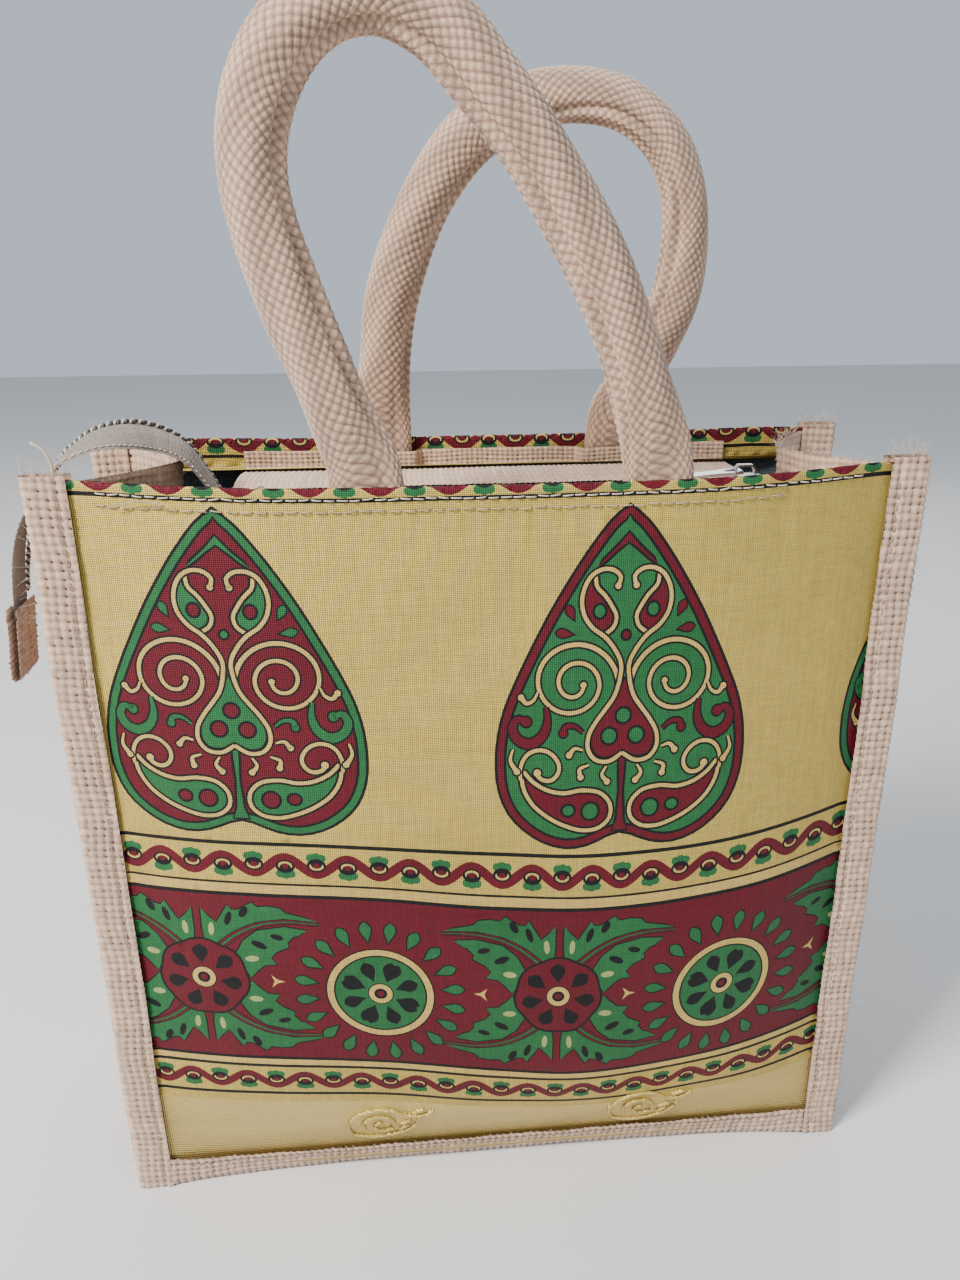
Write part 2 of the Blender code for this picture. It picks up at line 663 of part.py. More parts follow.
def tail_frames(points, count, start_tilt, middle_tilt, end_tilt):
    """Centre, width direction and upward normal at even steps along the zip's free end."""
    centres = [Vector(point) for point in smooth_line(points, count)]
    frames = []
    for index, centre in enumerate(centres):
        ahead = centres[min(index + 1, count - 1)] - centres[max(index - 1, 0)]
        share = index / (count - 1)
        knots = [(0.0, start_tilt), (0.5, middle_tilt), (1.0, end_tilt)]
        tilt = math.radians(float(smooth_curve(knots, share)))
        wide = Vector((0.0, math.cos(tilt), math.sin(tilt)))
        wide = (wide - wide.dot(ahead.normalized()) * ahead.normalized()).normalized()
        normal = wide.cross(ahead).normalized()
        frames.append((centre, wide, normal if normal.z > 0 or index else -normal))
    return frames


def make_tail_strip(name, frames, material):
    """Tape folded lengthwise: one strip along the given frames."""
    near, far = [], []
    for centre, wide, normal in frames:
        edges = [centre - wide * TAIL_WIDTH / 2, centre, centre + wide * (TAIL_WIDTH / 2 - 0.0012)]
        near.append([edge + normal * TAIL_THICKNESS / 2 for edge in edges])
        far.append([edge - normal * TAIL_THICKNESS / 2 for edge in edges])
    return sheet_solid(name, near, far, material)


def make_tail_coil(name, frames, material):
    """Closed teeth along the folded edge of the tape."""
    rings = []
    for centre, wide, normal in frames:
        middle = centre + wide * (TAIL_WIDTH / 2 + LAYER_GAP)
        ring = []
        for index in range(6):
            angle = math.tau * index / 6
            offset = wide * math.cos(angle) + normal * math.sin(angle)
            ring.append(middle + offset * TAIL_COIL_RADIUS)
        rings.append(ring)
    return ring_solid(name, rings, material)


def make_end_tab(frame_before, frame, material):
    """Fabric tab folded over the end of the zip tape."""
    down = (frame[0] - frame_before[0]).normalized()
    centre, normal = frame[0] - down * 0.004, frame[2]
    half_gap = TAIL_THICKNESS / 2 + LAYER_GAP + 0.0006
    bend = arc_points((0.0, 0.0), half_gap, 90, -90, 5)
    path = [(0.0, half_gap), (TAB_LENGTH / 2, half_gap)]
    path += [(TAB_LENGTH - half_gap + u, v) for u, v in bend]
    path += [(TAB_LENGTH / 2, -half_gap), (0.0, -half_gap)]
    return thick_strip(
        "zip_end_tab",
        [-TAB_WIDTH / 2, TAB_WIDTH / 2],
        lambda y: path,
        lambda y, along, out: centre + frame[1] * y + down * along + normal * out,
        0.0012,
        material,
    )


def handle_frames(side_name, side):
    """Centre, in-plane normal towards the inside of the loop, and roundness at each station of a handle."""
    line = smooth_line(HANDLE_LINES[side_name], HANDLE_STATIONS)
    axis = handle_axis(side_name, side)
    line[0][1] = line[-1][1] = axis.z + LAYER_GAP
    last = HANDLE_STATIONS - 1
    step = float(np.linalg.norm(np.diff(line, axis=0), axis=1).mean())
    y = side * (abs(axis.y) - HANDLE_AXIS_OUTSIDE_RIM - FOOT_INSET)
    frames = []
    for index, (x, z) in enumerate(line):
        before, after = line[max(index - 1, 0)], line[min(index + 1, last)]
        run, rise = after[0] - before[0], after[1] - before[1]
        if index in (0, last):
            run, rise = 0.0, 1.0 if index == 0 else -1.0
        norm = math.hypot(run, rise)
        inward = Vector((rise / norm, 0.0, -run / norm))
        from_end = min(index, last - index) * step
        roundness = min(1.0, from_end / FOOT_LENGTH)
        roundness = roundness * roundness * (3 - 2 * roundness)
        frames.append((Vector((x, y, z)), inward, roundness))
    return frames


def handle_ring(frame, side, foot_level, shrink, plain):
    """One ring of a handle: flat at the feet and round with a seam ridge elsewhere."""
    centre, inward, roundness = frame
    half_width = FOOT_HALF_WIDTH + (HANDLE_HALF_WIDTH - FOOT_HALF_WIDTH) * roundness - shrink
    half_depth = FOOT_HALF_DEPTH + (HANDLE_HALF_DEPTH - FOOT_HALF_DEPTH) * roundness - shrink
    ring = []
    for degrees, share in HANDLE_RING:
        angle = math.radians(degrees)
        reach = 1.0 if plain else 1.0 + (share - 1.0) * roundness
        across, deep = math.cos(angle), math.sin(angle)
        if roundness < 1.0:
            # A foot has a blunter section than an ellipse, so that it meets its tab squarely.
            power = 0.5 + 0.5 * roundness
            across = math.copysign(abs(across) ** power, across)
            deep = math.copysign(abs(deep) ** power, deep)
        point = centre - inward * across * half_width * reach + Vector((0.0, deep * half_depth * reach, 0.0))
        if foot_level is not None:
            inner_share = (half_depth - side * (point.y - centre.y)) / (2 * half_depth)
            rise = FOOT_FRONT_RISE + (FOOT_BACK_RISE - FOOT_FRONT_RISE) * min(max(inner_share, 0.0), 1.0)
            point.z = foot_level + rise
        ring.append(point)
    return ring


def make_handle(side_name, side, webbing, filler):
    """Padded handle: a webbing sleeve, and the cord filler inside its round part."""
    frames = handle_frames(side_name, side)
    low = handle_axis(side_name, side).z + LAYER_GAP
    outer, inner = [], []
    for index, frame in enumerate(frames):
        level = low if index in (0, len(frames) - 1) else None
        outer.append(handle_ring(frame, side, level, 0.0, False))
        inner.append(handle_ring(frame, side, level, HANDLE_WALL, True))
    sleeve = tube_solid(f"{side_name}_handle_webbing", outer, inner, webbing)
    # The filler's polygon rings stay inside the sleeve's, whose flats lie nearer the centre than its corners.
    margin = HANDLE_WALL + LAYER_GAP + 0.0004
    full = [frame for frame in frames if frame[2] >= 0.9]
    rings = [handle_ring(frame, side, None, margin, True) for frame in full]
    core = ring_solid(f"{side_name}_handle_filler", rings, filler)
    return [sleeve, core]


def hang_on_pivot(name, pivot, objects):
    """Parents moving pieces to an empty on their joint's axis, with their own origins there too."""
    empty = bpy.data.objects.new(name, None)
    empty.location = pivot
    empty.empty_display_size = 0.01
    bpy.context.scene.collection.objects.link(empty)
    for obj in objects:
        obj.data.transform(Matrix.Translation(-pivot))
        obj.parent = empty


def build_body(materials):
    for side_name, side in (("front", -1), ("back", 1)):
        make_panel(side_name, side, materials["brocade"])
        make_lining(side_name, side, materials["lining"])
        for hand_name, hand in (("left", -1), ("right", 1)):
            make_side_binding(side_name, side, hand_name, hand, materials["jute"])
        make_bottom_binding(side_name, side, materials["jute"])
        for hand_name, foot_x in zip(("left", "right"), HANDLE_FEET[side_name]):
            make_handle_tab(side_name, side, hand_name, foot_x, materials["webbing"])
        make_flap_band(side_name, side, materials["jute"])
    for hand_name, hand in (("left", -1), ("right", 1)):
        make_gusset(hand_name, hand, materials["jute"])
    make_base(materials["jute"])


def build_handles(materials):
    for side_name, side in (("front", -1), ("back", 1)):
        pieces = make_handle(side_name, side, materials["webbing"], materials["filler"])
        hang_on_pivot(f"{side_name}_handle_pivot", handle_axis(side_name, side), pieces)


def build_flaps(materials):
    for side_name, side in (("front", -1), ("back", 1)):
        pieces = [
            make_flap(side_name, side, materials["jute"]),
            make_flap_tape(side_name, side, materials["tape"]),
            make_flap_coil(side_name, side, materials["coil"]),
        ]
        hang_on_pivot(f"{side_name}_flap_pivot", Vector((0.0, side * FLAP_HINGE_Y, FLAP_HEIGHT)), pieces)


def build_zip(materials):
    for side_name, side in (("front", -1), ("back", 1)):
        left_end = MOVING_ZIP_LEFT - 0.0004
        right_end = MOVING_ZIP_RIGHT + 0.0004
        make_fixed_zip(f"zip_bottom_{side_name}", side, ZIP_BOTTOM_LEFT, left_end, materials["tape"])
        make_fixed_zip(f"zip_head_{side_name}", side, right_end, ZIP_HEAD_RIGHT, materials["tape"])
        make_top_stop(side_name, side, materials["metal"])
    make_bottom_stop(materials["metal"])
    slider = [make_slider(materials["metal"]), make_slider_bridge(materials["metal"])]
    hang_on_pivot("zip_slider_origin", Vector((SLIDER_CENTRE_X, 0.0, TAPE_TOP)), slider)
    hang_on_pivot("zip_pull_pivot", pull_axis(), [make_pull(materials["metal"])])


def build_tail(materials):
    tilt = TAIL_TILT_DEG
    arch = tail_frames(TAIL_ARCH, 13, tilt["start"], tilt["crest"], tilt["end"])
    drop = tail_frames(TAIL_DROP, 10, tilt["end"], 3.0, 0.0)
    make_tail_strip("zip_tail_tape", arch, materials["tape"])
    make_tail_coil("zip_tail_coil", arch[:-1], materials["coil"])
    pieces = [
        make_tail_strip("zip_drop_tape", drop, materials["tape"]),
        make_tail_coil("zip_drop_coil", drop[:-2], materials["coil"]),
        make_end_tab(drop[-2], drop[-1], materials["jute"]),
    ]
    hang_on_pivot("zip_drop_pivot", Vector(TAIL_DROP[0]), pieces)


def main():
    clear_scene()
    materials = make_materials()
    build_body(materials)
    build_handles(materials)
    build_flaps(materials)
    build_zip(materials)
    build_tail(materials)


main()
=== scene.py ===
"""Looks of the zipped jute gift bag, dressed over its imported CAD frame.

Metres, +Z up, the front panel faces -Y. Every cloth follows the surface that its CAD layer lies in.
The printed ornament is drawn flat, in millimetres of cloth, and then laid on the panels.
"""

import math

import bpy
import numpy as np
from mathutils import Matrix, Vector
from mathutils.geometry import delaunay_2d_cdt


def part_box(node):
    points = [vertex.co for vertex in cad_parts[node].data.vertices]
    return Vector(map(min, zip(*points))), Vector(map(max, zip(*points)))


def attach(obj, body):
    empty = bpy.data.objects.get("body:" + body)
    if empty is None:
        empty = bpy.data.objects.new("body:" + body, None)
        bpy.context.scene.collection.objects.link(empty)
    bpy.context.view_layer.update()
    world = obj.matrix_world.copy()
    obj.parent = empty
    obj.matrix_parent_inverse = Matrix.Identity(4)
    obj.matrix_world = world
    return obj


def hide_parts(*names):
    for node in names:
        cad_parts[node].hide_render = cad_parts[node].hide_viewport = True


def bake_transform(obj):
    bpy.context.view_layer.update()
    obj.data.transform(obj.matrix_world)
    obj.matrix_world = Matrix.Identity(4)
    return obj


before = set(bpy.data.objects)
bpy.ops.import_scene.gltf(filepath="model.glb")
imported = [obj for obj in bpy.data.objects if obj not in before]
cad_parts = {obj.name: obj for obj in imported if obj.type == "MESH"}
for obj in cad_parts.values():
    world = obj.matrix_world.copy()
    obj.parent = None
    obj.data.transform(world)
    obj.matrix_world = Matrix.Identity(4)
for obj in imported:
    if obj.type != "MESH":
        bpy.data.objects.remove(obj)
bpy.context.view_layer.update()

MM = 0.001
SIDES = (("front", -1), ("back", 1))
HANDS = (("left", -1), ("right", 1))

# Bag body: the same surface as the CAD panels
BAG_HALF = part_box("front_right_binding")[1][0]
BINDING_WIDTH = 0.013
SEAM_X = BAG_HALF - BINDING_WIDTH
RIM_LENGTH = 0.266
MOUTH_HALF = 0.036
BASE_HALF = 0.046
BULGE_BY_HEIGHT = [
    (0.000, -0.0045), (0.012, 0.000), (0.035, 0.008), (0.080, 0.013), (0.150, 0.014), (0.220, 0.011),
    (0.280, 0.009),
]
BULGE_FADE_POWER = 4

# Middle of each layer of a face, measured inward from its outermost surface
BINDING_INSET = 0.0004
PANEL_INSET = 0.00135
LINING_INSET = 0.0021
HEM_INSET = 0.00285
GUSSET_INSET = 0.00375
BINDING_BACK_INSET = 0.0048
TAB_INSET = 0.0048
BAND_INSET = 0.0040
BAND_OVER_TAB = 0.0031
HEM_DEPTH = 0.0115
PANEL_EDGE_X = BAG_HALF - 0.0035
# Creases that run in from the left seam, in millimetres: height, tilt and size
CREASES = ((246, 0.06, 0.9), (238, 0.02, -0.6), (231, -0.05, 0.7), (222, -0.10, -0.4))
PANEL_BOTTOM = 0.006
FOLD_RADIUS = (HEM_INSET - PANEL_INSET) / 2
FOLD_START = RIM_LENGTH - 0.00025 - FOLD_RADIUS

# Stitches: rows below the rim, and the row near each edge of a binding
STITCH_ROWS = (0.2590, 0.2624)
STITCH_PITCH = 0.0034
BINDING_STITCH = 0.0030
STITCH_RADIUS = 0.00022

# Handles: centre line of each loop as (x, height), from its left foot to its right foot
HANDLE_LINES = {
    "front": [
        (-0.0372, 0.2640), (-0.0380, 0.2690), (-0.0435, 0.2822), (-0.0487, 0.2957), (-0.0527, 0.3060),
        (-0.0569, 0.3185), (-0.0605, 0.3304), (-0.0625, 0.3420), (-0.0619, 0.3531), (-0.0573, 0.3660),
        (-0.0499, 0.3755), (-0.0400, 0.3817), (-0.0281, 0.3833), (-0.0163, 0.3790), (-0.0018, 0.3645),
        (0.0110, 0.3490), (0.0219, 0.3327), (0.0337, 0.3103), (0.0420, 0.2890), (0.0475, 0.2700),
        (0.0482, 0.2640),
    ],
    "back": [
        (-0.0331, 0.2640), (-0.0330, 0.2700), (-0.0314, 0.2907), (-0.0285, 0.3109), (-0.0226, 0.3287),
        (-0.0136, 0.3459), (0.0002, 0.3625), (0.0169, 0.3715), (0.0336, 0.3745), (0.0506, 0.3717),
        (0.0650, 0.3614), (0.0731, 0.3460), (0.0753, 0.3301), (0.0728, 0.3102), (0.0674, 0.2965),
        (0.0590, 0.2806), (0.0535, 0.2700), (0.0529, 0.2640),
    ],
}
HANDLE_FEET = {"front": (-0.0372, 0.0482), "back": (-0.0331, 0.0529)}
HANDLE_Y = {"front": -0.04013, "back": 0.04013}
HANDLE_HALF_WIDTH = 0.0085
HANDLE_HALF_DEPTH = 0.0070
FOOT_HALF_WIDTH = 0.0104
FOOT_HALF_DEPTH = 0.0022
FOOT_LENGTH = 0.034
FOOT_TOP = 0.2645
TAB_BOTTOM = 0.247
# Twist of each sleeve in degrees, by share of its length
HANDLE_TWIST = {
    "front": [(0, 0), (0.5, 8), (0.75, 14), (1, 0)],
    "back": [(0, 0), (0.3, -10), (0.62, 38), (0.8, 16), (1, 0)],
}
WEBBING_STEP = 0.00047
WEBBING_SIDES = 112
BUMPS_ROUND = 19
BUMP_PITCH, BUMP_WIDTH, BUMP_HEIGHT = 0.0033, 0.0026, 0.00052

# Closure
FLAP_LEFT, FLAP_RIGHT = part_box("front_flap")[0][0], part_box("front_flap")[1][0]
FLAP_CLOTH = 0.0395
FLAP_BAND_CLOTH = 0.0085
FLAP_HEIGHT = 0.2525
FLAP_HINGE_Y = 0.0370
FLAP_INNER_Y = 0.0065
BAND_TOP = 0.2615
TAPE_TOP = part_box("front_zip_tape")[1][2]
MOVING_ZIP = (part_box("front_zip_tape")[0][0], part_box("front_zip_tape")[1][0])
ZIP_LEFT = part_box("zip_bottom_front")[0][0]
ZIP_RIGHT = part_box("zip_head_front")[1][0]
COIL_MIDDLE_Y = 0.0015
COIL_HALF_WIDTH = 0.0007
COIL_HALF_HEIGHT = 0.0006
COIL_PITCH = 0.0014
COIL_THREAD = 0.00030
TAPE_WIDTH = 0.0065
TAPE_EDGE_Y = 0.0013
SPAN_GAP = 0.0004

# Free end of the zip
TAIL_WIDTH = 0.013
TAIL_ARCH = [
    (-0.0868, 0.0000, 0.2522), (-0.0905, -0.0005, 0.2590), (-0.0965, -0.0020, 0.2680),
    (-0.1045, -0.0060, 0.2727), (-0.1130, -0.0130, 0.2738), (-0.1215, -0.0205, 0.2715),
    (-0.1262, -0.0230, 0.2691),
]
TAIL_DROP = [
    (-0.1283, -0.0234, 0.2674), (-0.1335, -0.0232, 0.2615), (-0.1385, -0.0228, 0.2530),
    (-0.1425, -0.0224, 0.2430), (-0.1452, -0.0220, 0.2330), (-0.1465, -0.0220, 0.2215),
]
TAIL_TILTS = [(0.0, 0.0), (0.28, 24.0), (0.55, 8.0), (1.0, 0.0)]
END_TAB_LENGTH = 0.024
END_TAB_WIDTH = 0.017
ROPE_PITCH, ROPE_REACH, ROPE_RADIUS = 0.0022, 0.00055, 0.00048

# Gussets, with the depth of the fold at the rim, and base
GUSSET_WIDTH = 0.094
BASE_WIDTH = 0.098
FOLD_AT_RIM = {"left": 0.0255, "right": 0.0215}
FOLD_POWER = 1.25
GUSSET_TOP = 0.2645

# Yarns as (pitch across, pitch along, thickness, unevenness)
JUTE_YARN = (0.0026, 0.0026, 0.00046, 0.34)
FINE_JUTE_YARN = (0.0018, 0.0019, 0.00034, 0.30)
TAPE_YARN = (0.0009, 0.0011, 0.00010, 0.15)
OWN_YARNS = 512

# Colours, linear
GOLD = (0.520, 0.378, 0.090)
LINE_GOLD = (0.520, 0.360, 0.100)
ZARI = (0.640, 0.485, 0.165)
RED = (0.105, 0.003, 0.010)
GREEN = (0.015, 0.116, 0.034)
BLACK = (0.003, 0.003, 0.004)
# Yarn colours as (painted shade for the gaps between yarns, the yarn's own colour with a painted highlight
# for the crests)
JUTE_GAP_SHADE, JUTE_LIT_CREST = (0.120, 0.066, 0.040), (0.550, 0.366, 0.252)
WEBBING_GAP_SHADE, WEBBING_LIT_CREST = (0.235, 0.138, 0.088), (0.545, 0.360, 0.250)
TAPE_GAP_SHADE, TAPE_LIT_CREST = (0.070, 0.053, 0.042), (0.215, 0.170, 0.138)
LEAF_LIGHT = (0.30, 0.33, 0.12)
MOTIF_GOLD = (0.640, 0.490, 0.150)
THREAD_COLOUR = (0.52, 0.43, 0.33)
SEAM_THREAD_COLOUR = (0.33, 0.25, 0.16)
FIBRE_COLOUR = (0.62, 0.48, 0.38)
LINING_COLOUR = (0.105, 0.140, 0.160)
COIL_COLOUR = (0.022, 0.021, 0.022)
METAL_COLOUR = (0.72, 0.72, 0.74)
FLOOR_COLOUR = (0.62, 0.60, 0.59)
SKY_COLOUR, SKY_STRENGTH = (0.52, 0.60, 0.68), 1.05

# Lights as (name, place, size, power, colour), and the camera
LIGHTS = (
    ("key", (-0.90, -0.60, 1.20), 0.40, 52.0, (1.0, 0.97, 0.93)),
    ("fill", (1.0, -0.8, 0.5), 1.0, 3.0, (0.90, 0.95, 1.0)),
    ("back", (0.3, 0.9, 0.9), 0.9, 7.0, (1.0, 1.0, 1.0)),
)
LIGHT_AIM = (0, 0, 0.15)
CAMERA_PLACE = (-0.02868, -0.30942, 0.32072)
CAMERA_TURN = (0.37502, -0.02209, 0.08855)
LENS_MM = 26.43


def smooth_curve(knots, position):
    """Value at a position on a smooth curve through (position, value) knots."""
    places = np.array([knot[0] for knot in knots])
    values = np.array([knot[1] for knot in knots])
    slopes = np.gradient(values, places)
    position = np.clip(position, places[0], places[-1])
    index = np.clip(np.searchsorted(places, position) - 1, 0, len(places) - 2)
    span = places[index + 1] - places[index]
    t = (position - places[index]) / span
    start = (1 + 2 * t) * (1 - t) ** 2 * values[index] + t * (1 - t) ** 2 * span * slopes[index]
    end = t**2 * (3 - 2 * t) * values[index + 1] + t**2 * (t - 1) * span * slopes[index + 1]
    return start + end


def smooth_step(value):
    value = np.clip(value, 0.0, 1.0)
    return value * value * (3 - 2 * value)


def unit(vectors):
    """The same vectors at length 1."""
    return vectors / np.maximum(np.linalg.norm(vectors, axis=-1, keepdims=True), 1e-12)


def bell(value, middle, width):
    """A soft ridge, 1 at its middle."""
    return np.exp(-(((value - middle) / width) ** 2))


def smooth_line(points, count, closed=False):
    """Evenly spaced points on a smooth line through the given points."""
    points = np.array(points, float)
    lead = 0
    if closed:
        lead = min(3, len(points) - 1)
        points = np.concatenate([points[-lead:], points, points[: lead + 1]])
    steps = np.linalg.norm(np.diff(points, axis=0), axis=1)
    along = np.concatenate([[0.0], np.cumsum(steps)])
    start, end = (along[lead], along[-lead - 1]) if closed else (0.0, along[-1])
    fine = np.linspace(start, end, count + 1)[:-1] if closed else np.linspace(start, end, count)
    return np.stack([smooth_curve(list(zip(along, column)), fine) for column in points.T], axis=1)


def face_tables():
    """Distance out and height of a face, tabled by x and by cloth length."""
    height = np.linspace(0.0, RIM_LENGTH * 1.05, 400)
    lean = BASE_HALF + (MOUTH_HALF - BASE_HALF) * height / RIM_LENGTH
    bulge = smooth_curve(BULGE_BY_HEIGHT, height)
    outs, heights = [], []
    for x in TABLE_X:
        out = lean + max(0.0, 1 - (x / SEAM_X) ** BULGE_FADE_POWER) * bulge
        length = np.concatenate([[0.0], np.cumsum(np.hypot(np.diff(out), np.diff(height)))])
        outs.append(np.interp(TABLE_LENGTH, length, out))
        heights.append(np.interp(TABLE_LENGTH, length, height))
    return np.array(outs), np.array(heights)


TABLE_X = np.linspace(0.0, BAG_HALF + 0.002, 92)
TABLE_LENGTH = np.linspace(0.0, 0.275, 551)
FACE_OUT, FACE_HEIGHT = face_tables()


def look_up(table, x, length):
    column = np.clip(np.abs(x) / TABLE_X[1], 0, len(TABLE_X) - 1.001)
    row = np.clip(length / TABLE_LENGTH[1], 0, len(TABLE_LENGTH) - 1.001)
    i, j = column.astype(int), row.astype(int)
    a, b = column - i, row - j
    near = (1 - b) * table[i, j] + b * table[i, j + 1]
    far = (1 - b) * table[i + 1, j] + b * table[i + 1, j + 1]
    return (1 - a) * near + a * far


def face_points(side, x, length, inset):
    """Points of a face: side is -1 for the front and 1 for the back, inset runs inward along the normal."""
    x, length, inset = np.broadcast_arrays(np.asarray(x, float), np.asarray(length, float), inset)
    step = 0.0006
    d_out = look_up(FACE_OUT, x, length + step) - look_up(FACE_OUT, x, length - step)
    d_height = look_up(FACE_HEIGHT, x, length + step) - look_up(FACE_HEIGHT, x, length - step)
    norm = np.hypot(d_out, d_height)
    out = look_up(FACE_OUT, x, length) - inset * d_height / norm
    height = look_up(FACE_HEIGHT, x, length) + inset * d_out / norm
    return np.stack([x, side * out, height], axis=-1)


def ripple(x, length):
    """How far a face's cloth stands out: waves, puckers under the rim's stitching and creases at a seam."""
    u, v = x / MM, length / MM
    seam = SEAM_X / MM
    waves = 0.30 * np.sin(u / 17 + 0.6 * np.sin(v / 23)) * np.sin(v / 31 + 0.8)
    waves += 0.16 * np.sin(u / 8.3 + v / 13.1) + 0.12 * np.sin(v / 6.1 - u / 19)
    below = np.clip(STITCH_ROWS[0] / MM - v, 0, None)
    puckers = 0.34 * np.sin(u / 1.15 + 1.5 * np.sin(u / 9)) * np.exp(-below / 6) * (below > 0)
    creases = np.zeros_like(waves)
    for height, tilt, size in CREASES:
        creases += size * bell(v, height + tilt * (u + 120), 2.2) * np.exp(-(u + seam) / 18)
    to_seam = np.minimum(u + seam, seam - u)
    creases += 0.34 * np.sin(v / 1.5 + 2.2 * np.sin(v / 11) + u / 31) * np.exp(-to_seam / 12)
    pucker_line = -0.8 * bell(u, 88, 1.1) * np.exp(-below / 16)
    edges = (1 - np.abs(x / SEAM_X).clip(0, 1) ** 10) * smooth_step((length - 0.012) / 0.025)
    edges = edges * smooth_step((RIM_LENGTH - 0.0012 - length) / 0.004)
    return (waves + puckers + creases + pucker_line) * edges * MM


# Materials


class Nodes:
    """Short way to add and link shader nodes to one material."""

    def __init__(self, name):
        self.material = bpy.data.materials.new(name)
        self.material.use_nodes = True
        self.tree = self.material.node_tree
        self.shader = self.tree.nodes["Principled BSDF"]

    def add(self, kind, **settings):
        node = self.tree.nodes.new(kind)
        for key, value in settings.items():
            if key in node.inputs:
                node.inputs[key].default_value = value
            else:
                setattr(node, key, value)
        return node

    def colour(self, value):
        node = self.add("ShaderNodeRGB")
        node.outputs[0].default_value = (*value, 1.0)
        return node.outputs[0]

    def link(self, source, target):
        self.tree.links.new(source, target)

    def math(self, operation, first, second):
        node = self.add("ShaderNodeMath", operation=operation)
        for socket, value in zip(node.inputs, (first, second)):
            if isinstance(value, float):
                socket.default_value = value
            else:
                self.link(value, socket)
        return node.outputs[0]

    def noise(self, scale, detail=3.0, stretch=None):
        place = self.add("ShaderNodeTexCoord").outputs["Object"]
        if stretch:
            mapping = self.add("ShaderNodeMapping")
            mapping.inputs["Scale"].default_value = stretch
            self.link(place, mapping.inputs["Vector"])
            place = mapping.outputs["Vector"]
        noise = self.add("ShaderNodeTexNoise", Scale=scale, Detail=detail)
        self.link(place, noise.inputs["Vector"])
        return noise.outputs["Fac"]

    def bands(self, direction, wavelength, distortion=0.0):
        """Stripes across one axis, a full wave each wavelength."""
        wave = self.add("ShaderNodeTexWave", bands_direction=direction)
        wave.inputs["Scale"].default_value = math.tau / (20 * wavelength)
        wave.inputs["Distortion"].default_value = distortion
        self.link(self.add("ShaderNodeTexCoord").outputs["Object"], wave.inputs["Vector"])
        return wave.outputs["Fac"]

    def ramp(self, factor, stops):
        ramp = self.add("ShaderNodeValToRGB")
        elements = ramp.color_ramp.elements
        while len(elements) < len(stops):
            elements.new(0.5)
        for element, (place, colour) in zip(elements, stops):
            element.position = place
            element.color = (*colour, 1.0)
        self.link(factor, ramp.inputs["Fac"])
        return ramp.outputs["Color"]

    def tint(self, colour, factor, low, high):
        """Colour made darker or lighter by a factor from 0 to 1."""
        span = self.add("ShaderNodeMapRange", clamp=True)
        span.inputs["To Min"].default_value = low
        span.inputs["To Max"].default_value = high
        self.link(factor, span.inputs["Value"])
        scaled = self.add("ShaderNodeVectorMath", operation="SCALE")
        self.link(colour, scaled.inputs[0])
        self.link(span.outputs["Result"], scaled.inputs["Scale"])
        return scaled.outputs["Vector"]

    def attribute(self, name):
        return self.add("ShaderNodeAttribute", attribute_name=name).outputs["Fac"]

    def finish(self, colour, height, bump, roughness, metallic=0.0, sheen=0.0):
        node = self.add("ShaderNodeBump")
        node.inputs["Strength"].default_value = 0.8
        node.inputs["Distance"].default_value = bump
        self.link(height, node.inputs["Height"])
        self.link(node.outputs["Normal"], self.shader.inputs["Normal"])
        self.link(colour, self.shader.inputs["Base Color"])
        self.shader.inputs["Roughness"].default_value = roughness
        self.shader.inputs["Metallic"].default_value = metallic
        self.shader.inputs["Sheen Weight"].default_value = sheen
        self.shader.inputs["Sheen Roughness"].default_value = 0.5
        return self.material


def yarn_material(name, gap_shade, light, roughness=0.9):
    """Spun yarn: painted shade in its gaps, its own colour with a painted highlight on its crests, each yarn
    its own tone, with fibres.
    """
    nodes = Nodes(name)
    middle = tuple(a + (b - a) * 0.52 for a, b in zip(gap_shade, light))
    # Ramp over the relief: painted shade at the gaps, painted highlight at the crests; light is the crest
    # colour with that painted highlight
    colour = nodes.ramp(nodes.attribute("relief"), [(0.15, gap_shade), (0.50, middle), (0.95, light)])
    colour = nodes.tint(colour, nodes.attribute("yarn"), 0.80, 1.14)
    colour = nodes.tint(colour, nodes.noise(900.0, 5.0), 0.70, 1.30)
    colour = nodes.tint(colour, nodes.noise(28.0, 2.0), 0.92, 1.08)
    return nodes.finish(colour, nodes.noise(2600.0, 4.0), 0.00025, roughness, sheen=0.25)


def print_material(name, colour, metallic=0.12, roughness=0.50, contrast=0.22):
    """Printed brocade ground: fine warp and weft threads, a little metallic, uneven in the weave."""
    nodes = Nodes(name)
    threads = nodes.math("MULTIPLY", nodes.bands("X", 0.00062, 0.6), nodes.bands("Z", 0.00055, 0.6))
    shade = nodes.tint(nodes.colour(colour), threads, 1 - contrast, 1 + 1.6 * contrast)
    shade = nodes.tint(shade, nodes.noise(900.0, 2.0, (1.0, 1.0, 0.06)), 0.78, 1.24)
    shade = nodes.tint(shade, nodes.noise(900.0, 2.0, (0.06, 1.0, 1.0)), 0.82, 1.20)
    shade = nodes.tint(shade, nodes.noise(22.0, 3.0), 0.88, 1.10)
    nodes.shader.inputs["Specular IOR Level"].default_value = 0.22
    return nodes.finish(shade, threads, 0.00022, roughness, metallic)


def zari_material(name, colour, wavelength):
    """Metallic-thread strip woven in level ribs."""
    nodes = Nodes(name)
    threads = nodes.math("MULTIPLY", nodes.bands("Z", wavelength, 1.2), nodes.bands("X", 0.0007, 1.0))
    shade = nodes.tint(nodes.colour(colour), threads, 0.82, 1.30)
    shade = nodes.tint(shade, nodes.noise(120.0, 4.0, (0.15, 1.0, 1.0)), 0.82, 1.15)
    return nodes.finish(shade, threads, 0.00035, 0.30, 0.75)


